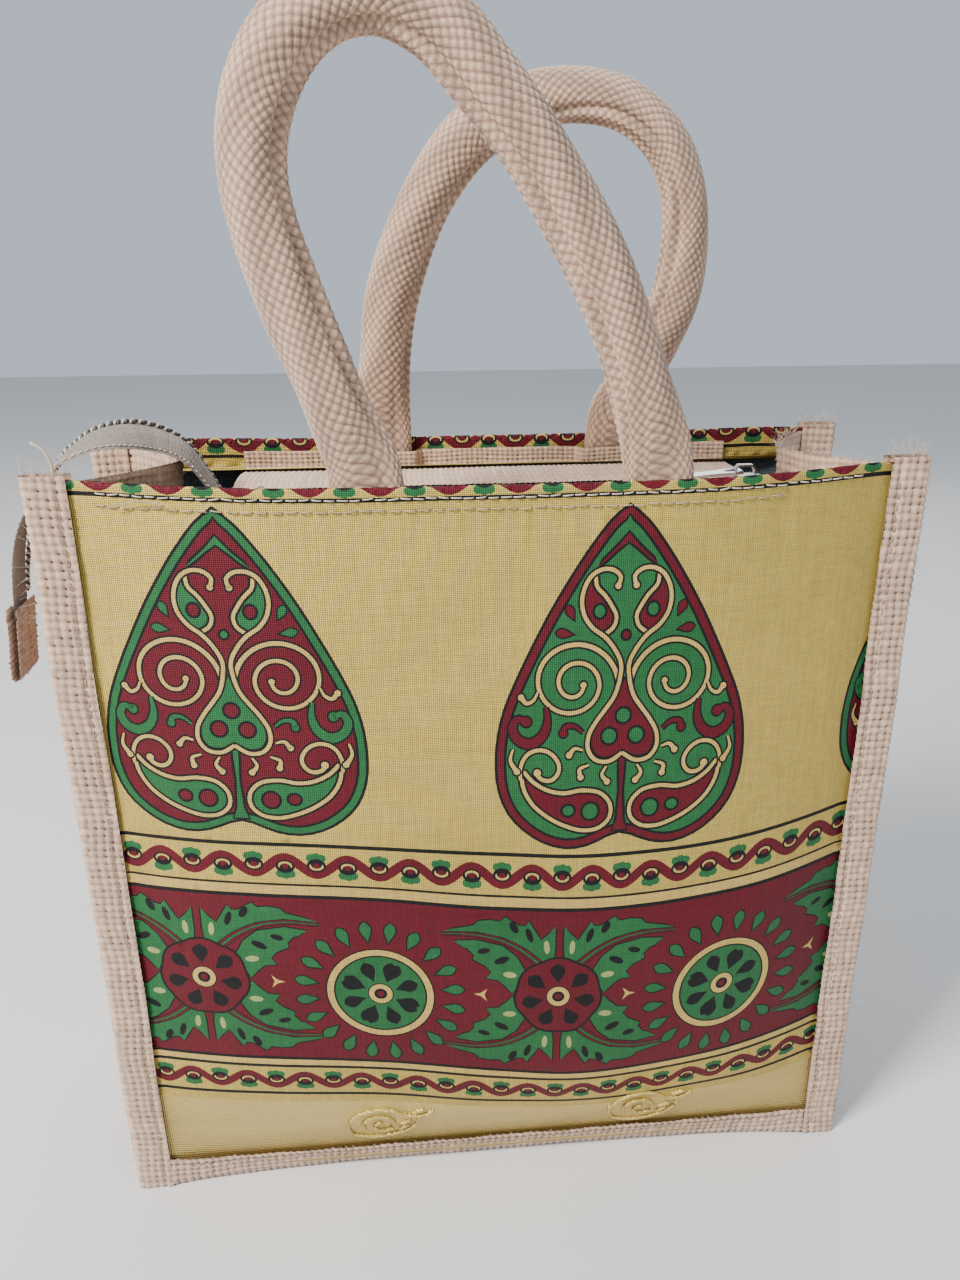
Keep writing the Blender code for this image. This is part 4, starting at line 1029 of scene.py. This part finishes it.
def binding_section(open_at, shut_at):
    """Section of a folded binding as (distance, inset) points, from its front edge round to its back edge."""
    middle = (BINDING_INSET + BINDING_BACK_INSET) / 2
    radius = middle - BINDING_INSET
    turn = 1.0 if shut_at > open_at else -1.0
    centre = shut_at - turn * (middle - 0.0002)
    angle = np.linspace(-math.pi / 2, math.pi / 2, 13)
    front = [(open_at, BINDING_INSET)]
    bend = [(centre + turn * radius * math.cos(a), middle + radius * math.sin(a)) for a in angle]
    return np.array(front + bend + [(open_at, BINDING_BACK_INSET)])


def along_section(section, distance):
    """Points at given distances along a section."""
    steps = np.hypot(*np.diff(section, axis=0).T)
    along = np.concatenate([[0.0], np.cumsum(steps)])
    return np.interp(distance, along, section[:, 0]), np.interp(distance, along, section[:, 1])


def section_length(section):
    return float(np.hypot(*np.diff(section, axis=0).T).sum())


def stitch_groove(width, inset):
    """Dent of a line of stitches near both edges of a folded strip."""

    def dent(u, v):
        near = np.minimum(np.abs(u - inset), np.abs(width - inset - u))
        beat = 0.75 + 0.25 * np.cos(v * math.tau / STITCH_PITCH)
        return 0.00055 * bell(near, 0, 0.0007) * beat

    return dent


def make_side_bindings(materials):
    section = binding_section(SEAM_X, BAG_HALF)
    width = section_length(section)
    u, v = spread(0, width, 0.00046), spread(0.0003, RIM_LENGTH + 0.0012, 0.00046)
    dent = stitch_groove(width, BINDING_STITCH)
    for side_name, side in SIDES:
        for hand_name, hand in HANDS:

            def place(u, v, side=side, hand=hand):
                x, inset = along_section(section, u)
                wave = 0.0004 * np.sin(v / 0.017 + hand) * np.sin(v / 0.041)
                return face_points(side, hand * (x + wave), v, inset)

            name = f"{side_name}_{hand_name}_binding"
            seed = 10 + side + 3 * hand
            strip = woven(f"{name}_jute", u, v, place, JUTE_YARN, materials["jute"], seed, dent, -side * hand)
            settle(strip, "bag", "jute", name)


def make_bottom_bindings(materials):
    section = binding_section(BINDING_WIDTH, 0.00025)
    width = section_length(section)
    u, v = spread(0, width, 0.00046), spread(-SEAM_X, SEAM_X, 0.00046)
    dent = stitch_groove(width, BINDING_STITCH)
    for side_name, side in SIDES:

        def place(u, v, side=side):
            length, inset = along_section(section, u)
            return face_points(side, v, length, inset)

        name = f"{side_name}_bottom_binding"
        strip = woven(f"{name}_jute", u, v, place, JUTE_YARN, materials["jute"], 21 + side, dent, -side)
        settle(strip, "bag", "jute", name)


def gusset_place(share, height, hand, fold_at_rim):
    """A gusset's surface: share runs from -1 at the front seam to 1 at the back seam."""
    corner = face_points(1, np.full_like(height, SEAM_X), height, GUSSET_INSET)
    inward = 1 - np.sqrt(share**2 + 0.0004)
    fold = fold_at_rim * (np.clip(height, 0, None) / RIM_LENGTH) ** FOLD_POWER
    x = SEAM_X - 0.001 - fold * (inward + 0.10 * np.sin(math.pi * inward))
    x = x + 0.0024 * smooth_step((np.abs(share) - 0.955) / 0.045)
    sway = 0.0006 * np.sin(height / 0.023 + 2 * share) * np.sin(math.pi * inward)
    return np.stack([hand * (x + sway), corner[..., 1] * share, height], axis=-1)


def make_gussets(materials):
    u, v = spread(0, GUSSET_WIDTH, 0.00058), spread(0.0008, GUSSET_TOP, 0.00058)
    for hand_name, hand in HANDS:
        fold = FOLD_AT_RIM[hand_name]

        def place(u, v, hand=hand, fold=fold):
            return gusset_place(2 * u / GUSSET_WIDTH - 1, v, hand, fold)

        name = f"{hand_name}_gusset"
        cloth = woven(f"{name}_jute", u, v, place, JUTE_YARN, materials["jute"], 31 + hand, flip=hand)
        settle(cloth, "bag", "jute", name)


def base_place(u, v):
    """The base's surface, lifted at the front and back to its seams behind the bottom bindings."""
    across = 2 * u / BASE_WIDTH - 1
    seam = face_points(1, v, np.full_like(v, BINDING_WIDTH + 0.0008), GUSSET_INSET + 0.001)
    drop = smooth_step((1 - np.abs(across)) / 0.40)
    y = seam[..., 1] * np.clip(np.abs(across) / 0.97, 0, 1)
    z = seam[..., 2] + (0.0009 - seam[..., 2]) * drop
    return np.stack([v, np.sign(across) * y, z + 0.0005], axis=-1)


def make_base(materials):
    u, v = spread(0, BASE_WIDTH, 0.0007), spread(-SEAM_X + 0.001, SEAM_X - 0.001, 0.0007)
    cloth = woven("base_jute", u, v, base_place, JUTE_YARN, materials["jute"], 40)
    settle(cloth, "bag", "jute", "base_panel")


# Handles


def handle_path(side_name, side):
    """Centre line of a handle with both its sewn ends, and the distance along it."""
    left, right = HANDLE_FEET[side_name]
    y = HANDLE_Y[side_name]
    ends = []
    for foot in (left, right):
        low = face_points(side, np.full(2, foot), np.array([TAB_BOTTOM, 0.256]), TAB_INSET)
        ends.append([tuple(point) for point in low])
    loop = [(x, y, z) for x, z in HANDLE_LINES[side_name]]
    line = smooth_line(ends[0] + loop + ends[1][::-1], 1200)
    steps = np.concatenate([[0.0], np.cumsum(np.linalg.norm(np.diff(line, axis=0), axis=1))])
    return line, steps


def bumps(along, around, pitch_along, pitch_around):
    """Staggered oval bumps of a tubular webbing, from 0 to 1."""
    first = np.abs(np.cos(math.pi * (along / pitch_along + around / pitch_around)))
    second = np.abs(np.cos(math.pi * (along / pitch_along - around / pitch_around)))
    return (first * second) ** 0.65


def twin(degrees, apart, width):
    """Two soft ridges along a sleeve, each an angle from its inner side."""
    return bell(degrees, 180 - apart, width) + bell(degrees, 180 + apart, width)


def sleeve_section(around, from_foot):
    """A sleeve's section along its length: flat at the sewn ends and oval above them."""
    roundness = smooth_step(from_foot / FOOT_LENGTH)[:, None]
    flatness = smooth_step(-from_foot / 0.006)[:, None]
    half_width = FOOT_HALF_WIDTH + (HANDLE_HALF_WIDTH - FOOT_HALF_WIDTH) * roundness
    half_depth = FOOT_HALF_DEPTH + (HANDLE_HALF_DEPTH - FOOT_HALF_DEPTH) * roundness - 0.0007 * flatness
    power = 0.55 + 0.45 * roundness
    across, deep = np.cos(around)[None], np.sin(around)[None]
    across = np.sign(across) * np.abs(across) ** power * half_width
    deep = np.sign(deep) * np.abs(deep) ** power * half_depth
    return across, deep, roundness


def sleeve_surface(side_name, side):
    """Points of a sleeve with its seam, lumps and bumps, and the relief and shade of each bump."""
    line, steps = handle_path(side_name, side)
    along = spread(0, steps[-1], WEBBING_STEP)
    around = np.arange(WEBBING_SIDES) * math.tau / WEBBING_SIDES
    centre = np.stack([np.interp(along, steps, column) for column in line.T], axis=1)
    ahead = unit(np.gradient(centre, axis=0) * (1, 0, 1))
    inward = np.stack([ahead[:, 2], np.zeros(len(along)), -ahead[:, 0]], axis=1)
    from_foot = np.minimum(along, steps[-1] - along) - (FOOT_TOP - TAB_BOTTOM)
    across, deep, roundness = sleeve_section(around, from_foot)
    degrees = np.degrees(around)
    seam = 0.0011 * twin(degrees, 12, 7) - 0.0012 * twin(degrees, 31, 7)
    crease = -0.0009 * twin(degrees, 70, 9)
    relief_out = seam[None] * roundness + crease[None] * (1 - roundness)
    v, turn = np.meshgrid(along, around, indexing="ij")
    relief_out += 0.00025 * np.sin(v / 0.009 + 2 * np.sin(turn)) * roundness
    slip = 0.0004 * np.sin(v / 0.0061 + 3 * turn) + 0.0003 * np.sin(v / 0.0137 - turn)
    round_share = turn * BUMPS_ROUND / math.tau
    # Bump relief: shapes the sleeve, and the webbing material paints shade between the bumps and a highlight
    # on their tops from it
    relief = bumps(v + slip, round_share * BUMP_WIDTH, BUMP_PITCH, BUMP_WIDTH)
    swell = 1 + (relief_out + BUMP_HEIGHT * (relief - 0.45)) / np.hypot(across, deep)
    shade = 0.5 + 0.5 * np.sin(12.9 * np.round(v / 0.0019) + 7.7 * np.round(round_share))
    twist = np.radians(smooth_curve(HANDLE_TWIST[side_name], along / steps[-1]))[:, None] * roundness
    across, deep = (
        across * np.cos(twist) - deep * np.sin(twist),
        across * np.sin(twist) + deep * np.cos(twist),
    )
    shape = centre[:, None] - inward[:, None] * (across * swell)[..., None]
    shape[..., 1] += deep * swell
    return shape, relief, shade


def make_handles(materials):
    for side_name, side in SIDES:
        name = f"{side_name}_handle"
        shape, relief, shade = sleeve_surface(side_name, side)
        faces = grid_faces(*shape.shape[:2], wrap=True)
        own = {"relief": relief, "yarn": shade}
        handle = make_mesh(f"{name}_sleeve", shape, faces, [materials["webbing"]], None, own)
        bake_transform(handle)
        nodes = [f"{name}_{piece}" for piece in ("webbing", "filler", "tab_left", "tab_right")]
        settle(handle, None, "webbing", *nodes)


# Closure


def band_lift(side_name, x):
    """How far a flap's sewn band stands off the hem where a handle end lies under it."""
    lift = np.zeros_like(x)
    for foot in HANDLE_FEET[side_name]:
        beyond = np.abs(x - foot) - FOOT_HALF_WIDTH - 0.0003
        lift = np.maximum(lift, 1 - np.clip(beyond, 0, None) / 0.004)
    return smooth_step(lift) * BAND_OVER_TAB


def flap_place(side_name, side, u, v):
    """A flap's surface: down the hem as a sewn band, then level to its zip tape."""
    band = np.clip(u / FLAP_BAND_CLOTH, 0, 1)
    flap = np.clip((u - FLAP_BAND_CLOTH) / (FLAP_CLOTH - FLAP_BAND_CLOTH), 0, 1)
    top = face_points(side, v, BAND_TOP - 0.0073 * band, BAND_INSET + band_lift(side_name, v))
    turn = smooth_step((u - 0.0062) / 0.0050)
    y = FLAP_HINGE_Y + (FLAP_INNER_Y - FLAP_HINGE_Y) * flap
    sag = 0.0006 * np.sin(math.pi * flap) * (1 + 0.8 * np.sin(v / 0.021)) - 0.0010 * (1 - flap) * flap
    on_flap = np.stack([v, side * y, FLAP_HEIGHT + sag], axis=-1)
    return top + (on_flap - top) * turn[..., None]


def make_flaps(materials):
    width, yarn = FLAP_RIGHT - FLAP_LEFT, FINE_JUTE_YARN
    u, v = spread(0, FLAP_CLOTH, 0.00042), spread(FLAP_LEFT, FLAP_RIGHT, 0.00042)

    def dent(u, v):
        return 0.0004 * bell(u, 0.0350, 0.0006)

    for side_name, side in SIDES:

        def place(u, v, side=side, side_name=side_name):
            return flap_place(side_name, side, u, v)

        name = f"{side_name}_flap"
        cloth = woven(f"{name}_jute", u, v, place, yarn, materials["jute"], 50 + side, dent, side)
        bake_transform(cloth)
        settle(cloth, None, "jute", name, f"{name}_band")


def make_zip(materials):
    left, right = MOVING_ZIP
    for name, side in SIDES:
        moving = (f"{name}_zip_tape", f"{name}_zip_coil")
        make_zip_span(f"{name}_zip_run", side, left, right, f"{name}_flap", moving, materials)
        ends = (("left", "bottom", ZIP_LEFT, left - SPAN_GAP), ("right", "head", right + SPAN_GAP, ZIP_RIGHT))
        for hand, end_name, start, end in ends:
            fixed = (f"zip_{end_name}_{name}",)
            make_zip_span(f"zip_{hand}_{name}", side, start, end, "bag", fixed, materials)


def make_zip_span(name, side, start, end, body, nodes, materials):
    """One length of tape with its row of coiled teeth."""

    def place(u, v):
        z = TAPE_TOP - 0.0002 + 0 * v - 0.0002 * np.clip(u - 0.004, 0, None) / 0.002
        return np.stack([v, side * (TAPE_EDGE_Y + u), z], axis=-1)

    u, v = spread(0, TAPE_WIDTH, 0.00032), spread(start, end, 0.00036)
    tape = woven(f"{name}_tape", u, v, place, TAPE_YARN, materials["tape"], 60, flip=-side)
    settle(tape, body, "tape", *nodes)
    turns = (end - start) / COIL_PITCH
    angle = np.linspace(0, math.tau * turns, int(turns * 12))
    x = np.linspace(start, end, len(angle)) + 0.25 * COIL_PITCH * side
    y = side * (COIL_MIDDLE_Y + COIL_HALF_WIDTH * np.cos(angle))
    z = TAPE_TOP + 0.00042 + COIL_HALF_HEIGHT * (1 + np.sin(angle))
    path = np.stack([np.clip(x, start, end), y, z], axis=1)
    settle(tubes(f"{name}_teeth", [path], COIL_THREAD, materials["coil"]), body, "coil")


def finish_metal(materials):
    """The slider, its bridge, the pull and the stops keep their CAD shape, in worn plated metal."""
    stops = ["zip_bottom_stop", "zip_top_stop_front", "zip_top_stop_back"]
    for name in ["zip_slider", "zip_slider_bridge", "zip_pull", *stops]:
        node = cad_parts[name]
        edges = node.modifiers.new("worn edges", "BEVEL")
        edges.width = 0.00018
        edges.segments = 3
        for slot in node.material_slots:
            slot.material = materials["metal"]


def tail_frames(count):
    """Centre, width direction and normal along the free end of the zip."""
    line = smooth_line(TAIL_ARCH + TAIL_DROP, count)
    ahead = unit(np.gradient(line, axis=0))
    tilt = np.radians(smooth_curve(TAIL_TILTS, np.linspace(0, 1, count)))
    wide = np.stack([np.zeros(count), np.cos(tilt), np.sin(tilt)], axis=1)
    wide = unit(wide - ahead * np.sum(wide * ahead, axis=1, keepdims=True))
    return line, wide, np.cross(wide, ahead), ahead


def make_tail(materials):
    """Folded tape with its closed teeth along one edge, over the left side and down to a jute tab."""
    line, wide, normal, ahead = tail_frames(400)
    length = float(np.linalg.norm(np.diff(line, axis=0), axis=1).sum())

    def along(values, v):
        share = v / length * (len(line) - 1)
        return np.stack([np.interp(share, np.arange(len(line)), column) for column in values.T], axis=-1)

    def place(u, v):
        across = u - TAIL_WIDTH / 2
        curl = 0.0009 * np.cos(math.pi * across / TAIL_WIDTH) + 0.0004 * np.sin(v / 0.006)
        return along(line, v) + along(wide, v) * across[..., None] + along(normal, v) * curl[..., None]

    u, v = spread(0, TAIL_WIDTH - 0.001, 0.00034), spread(0, length, 0.00034)
    tape = woven("zip_tail_cloth", u, v, place, TAPE_YARN, materials["tape"], 70)
    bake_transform(tape)
    settle(tape, None, "tape", "zip_tail_tape", "zip_drop_tape")

    coil_nodes = ("zip_tail_coil", "zip_drop_coil")
    v = np.linspace(0, length - 0.006, 1400)
    edge = along(line, v) + along(wide, v) * (TAIL_WIDTH / 2 + 0.0001)
    for phase, material, slot, nodes in ((0.0, "coil", "coil", coil_nodes), (math.pi, "thread", "tape", ())):
        angle = v / ROPE_PITCH * math.tau + phase
        aside = along(wide, v) * (ROPE_REACH * np.cos(angle))[:, None]
        lift = along(normal, v) * (ROPE_REACH * np.sin(angle))[:, None]
        path = edge + aside + lift
        rope = tubes(f"zip_tail_rope_{material}", [path], ROPE_RADIUS, materials[material])
        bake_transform(rope)
        settle(rope, None, slot, *nodes)

    lower = []
    for v in np.arange(0.001, length - 0.004, 0.0019):
        raised = 0.0004 * along(normal, np.array([v, v]))
        lower.append(place(np.full(2, 0.0012), np.array([v, v + 0.0011])) + raised)
    stitches = tubes("zip_tail_stitches", lower, STITCH_RADIUS, materials["thread"], 5)
    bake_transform(stitches)
    settle(stitches, None, "tape")
    make_end_tab(materials, line, wide, normal, ahead)


def make_end_tab(materials, line, wide, normal, ahead):
    """Jute tab folded over the end of the tape."""
    down, side_way, out = ahead[-1], wide[-1], normal[-1]
    start = line[-1] - down * 0.004
    half_gap = 0.0017
    run = END_TAB_LENGTH - half_gap
    total = 2 * run + math.pi * half_gap

    def place(u, v):
        bend = np.clip((v - run) / half_gap, 0, math.pi)
        back = np.clip(v - run - math.pi * half_gap, 0, None)
        reach = np.minimum(v, run) + half_gap * np.sin(bend) - back
        point = start + down * reach[..., None] + side_way * (u - END_TAB_WIDTH / 2)[..., None]
        return point + out * (half_gap * np.cos(bend))[..., None]

    def dent(u, v):
        return 0.0004 * bell(np.minimum(np.abs(v - 0.003), np.abs(total - 0.003 - v)), 0, 0.0006)

    u, v = spread(0, END_TAB_WIDTH, 0.00042), spread(0, total, 0.00042)
    tab = woven("zip_end_tab_jute", u, v, place, FINE_JUTE_YARN, materials["jute"], 80, dent, -1)
    settle(tab, "zip_drop", "jute", "zip_end_tab")


# Threads and fibres


def stitch_paths(place, start, end, pitch, cover, lift, rng, wander=0.0):
    """Short arcs of thread along a line; place(distance, lift, aside) gives a point."""
    paths = []
    position = start
    while position + pitch < end:
        reach = pitch * cover * (1 + rng.uniform(-0.08, 0.08))
        aside = rng.uniform(-wander, wander, 2)
        t = np.linspace(0, 1, 7)
        height = lift * (np.sin(math.pi * t) * 1.0 - 0.35)
        paths.append(place(position + reach * t, height, aside[0] + (aside[1] - aside[0]) * t))
        position += pitch
    return paths


# Stitch rows below the rim as (height, left end, right end, pitch, material), and the lower one's loose loop
RIM_ROWS = (
    (STITCH_ROWS[0], -0.115, 0.088, 0.0042, "seam thread"), (STITCH_ROWS[1], -0.114, 0.116, 0.0036, "thread"),
)
LOOSE_LOOP = [(-0.1085, 0.2590), (-0.1040, 0.2606), (-0.0985, 0.2612), (-0.0940, 0.2602)]


def make_rim_stitches(materials):
    rng = np.random.default_rng(5)
    for side_name, side in SIDES:
        for row, (height, left, right, pitch, thread) in enumerate(RIM_ROWS):

            def place(x, lift, aside, height=height, side=side):
                inset = PANEL_INSET - 0.0003 - ripple(x, x * 0 + height) - lift
                return face_points(side, x, height + aside, inset)

            paths = stitch_paths(place, left, right, pitch, 0.80, 0.0005, rng, 0.0003)
            if side < 0 and row == 0:
                loop = smooth_line(LOOSE_LOOP, 14)
                paths.append(face_points(side, loop[:, 0], loop[:, 1], -0.0004))
            name = f"{side_name}_rim_stitches_{row + 1}"
            settle(tubes(name, paths, STITCH_RADIUS, materials[thread], 6), "bag", "brocade")


def make_binding_stitches(materials):
    rng = np.random.default_rng(8)
    for side_name, side in SIDES:
        paths = []
        for hand in (-1, 1):

            def place(v, lift, aside, hand=hand, side=side):
                return face_points(side, hand * (SEAM_X + BINDING_STITCH) + aside, v, -0.0002 - lift)

            paths += stitch_paths(place, 0.006, 0.262, STITCH_PITCH, 0.62, 0.0004, rng, 0.0001)

        def along_bottom(v, lift, aside, side=side):
            return face_points(side, v, BINDING_WIDTH - BINDING_STITCH + aside, -0.0002 - lift)

        paths += stitch_paths(along_bottom, -0.116, 0.116, STITCH_PITCH, 0.62, 0.0004, rng, 0.0001)
        rows = tubes(f"{side_name}_binding_stitches", paths, STITCH_RADIUS, materials["seam thread"], 5)
        settle(rows, "bag", "jute")


# A cut end of sewing thread, as steps from the left corner of the rim
THREAD_END = np.array([(0, 0, 0), (0.0003, 0, 0.004), (-0.0015, 0, 0.0085), (-0.0045, 0, 0.0105)])


def make_fuzz(materials):
    """Loose fibres along the jute edges, thicker at the raw ends by the rim."""
    rng = np.random.default_rng(17)
    paths = []

    def hair(root, lean, length):
        bend = np.clip(rng.normal(0, 0.35, 3), -0.5, 0.5)
        t = np.linspace(0, 1, 5)[:, None]
        ahead = np.asarray(lean, float) / np.linalg.norm(lean)
        paths.append(root + ahead * length * t + bend * length * t**2)

    raw_end = RIM_LENGTH + 0.0008
    for _, side in SIDES:
        for hand in (-1, 1):
            for height in rng.uniform(0.01, 0.264, 190):
                edge = face_points(side, np.array(hand * (BAG_HALF - 0.0004)), np.array(height), 0.0024)
                lean = (hand, side * rng.uniform(-0.6, 0.9), rng.uniform(-0.6, 0.9))
                hair(edge, lean, 0.0015 + 0.0055 * rng.uniform() ** 3)
            for x in rng.uniform(SEAM_X, BAG_HALF, 80):
                edge = face_points(side, np.array(hand * x), np.array(raw_end), rng.uniform(0, 0.005))
                hair(edge, (rng.uniform(-0.5, 0.5), rng.uniform(-0.5, 0.5), 1), rng.uniform(0.0015, 0.0060))
    for hand_name, hand in HANDS:
        share = rng.uniform(-0.9, 0.9, 130)
        roots = gusset_place(share, np.full(130, GUSSET_TOP - 0.0002), hand, FOLD_AT_RIM[hand_name])
        for root in roots:
            hair(root, (rng.uniform(-0.7, 0.7), rng.uniform(-0.7, 0.7), 1), rng.uniform(0.001, 0.004))
    fuzz = tubes("loose_fibres", paths, 0.00007, materials["fibre"], 3, taper=True)
    settle(fuzz, "bag", "jute")
    corner = face_points(-1, np.array(-BAG_HALF + 0.009), np.array(RIM_LENGTH), 0.002)
    end = smooth_line([corner + step for step in THREAD_END], 14)
    settle(tubes("thread_end", [end], 0.00038, materials["thread"], 6), "bag", "jute")


# Raised metallic-thread motifs


MOTIF_LINES = [
    [(-13, -6), (-14.5, 0), (-12, 6.5), (-5, 10.2), (2, 9.4), (7, 5.6), (12, 4.2), (17, 7.5)],
    [(-13, -6), (-7, -8.6), (1, -8.2), (7.5, -5.2), (11, -0.8), (12, 4.2)],
    [
        (-8.5, -2.5), (-8.6, 2.5), (-4.5, 6.0), (0.5, 4.5), (2.6, 0.2), (0.4, -4.0), (-3.8, -3.6),
        (-4.6, 0.2), (-1.8, 1.6),
    ],
]
MOTIF_DASHES = [[(4.6, -4.2), (7.8, -1.6)], [(5.4, -0.6), (8.6, 1.6)], [(9.5, 7.2), (13.5, 8.8)]]
MOTIF_PLACES = ((-41.0, 27.0), (57.0, 24.5))


def make_motifs(materials):
    """Flat rolls of metallic thread that stand proud of the strip below the print."""
    for side_name, side in SIDES:
        parts = []
        for centre in MOTIF_PLACES:
            for line in MOTIF_LINES + MOTIF_DASHES:
                points = smooth_line(line, 26) if len(line) > 2 else np.linspace(line[0], line[1], 8)
                points = (points + centre) * MM
                inset = PANEL_INSET - 0.0002 - ripple(points[:, 0], points[:, 1])
                parts.append(face_points(side, points[:, 0], points[:, 1], inset))
        rolls = tubes(f"{side_name}_thread_motifs", parts, 0.00075, materials["motif"], 8)
        settle(rolls, "bag", "brocade")


# Studio


def make_stage():
    """Pale floor, an even sky and soft light from the upper left and front."""
    material = grained_material("pale floor", FLOOR_COLOUR, 3.0, (0.97, 1.03), 400.0, 0.00002, 0.6)
    corners = [(-3, -3, 0), (3, -3, 0), (3, 3, 0), (-3, 3, 0)]
    make_mesh("floor", corners, [(0, 1, 2, 3)], [material])
    world = bpy.data.worlds.new("studio")
    world.use_nodes = True
    sky = world.node_tree.nodes["Background"].inputs
    sky["Color"].default_value = (*SKY_COLOUR, 1.0)
    sky["Strength"].default_value = SKY_STRENGTH
    bpy.context.scene.world = world
    for light in LIGHTS:
        add_light(*light)


def add_light(name, place, size, power, colour):
    light = bpy.data.lights.new(name, "AREA")
    light.size = size
    light.energy = power
    light.color = colour
    lamp = bpy.data.objects.new(name, light)
    lamp.location = place
    aim = Vector(LIGHT_AIM) - Vector(place)
    lamp.rotation_euler = aim.to_track_quat("-Z", "Y").to_euler()
    bpy.context.scene.collection.objects.link(lamp)


def make_camera():
    """Camera turned from a level view along +Y by a rotation vector."""
    data = bpy.data.cameras.new("camera")
    data.sensor_width = 36.0
    data.lens = LENS_MM
    data.clip_start = 0.01
    camera = bpy.data.objects.new("camera", data)
    axis = Vector(CAMERA_TURN)
    turn = Matrix.Rotation(axis.length, 3, axis.normalized())
    level = Matrix(((1, 0, 0), (0, 0, 1), (0, -1, 0)))
    camera.matrix_world = Matrix.Translation(CAMERA_PLACE) @ (level @ turn).transposed().to_4x4()
    bpy.context.scene.collection.objects.link(camera)
    bpy.context.scene.camera = camera


PIECES = (
    make_panels, make_linings, make_side_bindings, make_bottom_bindings, make_gussets, make_base,
    make_handles, make_flaps, make_zip, finish_metal, make_tail, make_rim_stitches, make_binding_stitches,
    make_fuzz, make_motifs,
)


def main():
    materials = make_materials()
    make_stage()
    make_camera()
    for make_pieces in PIECES:
        make_pieces(materials)


main()
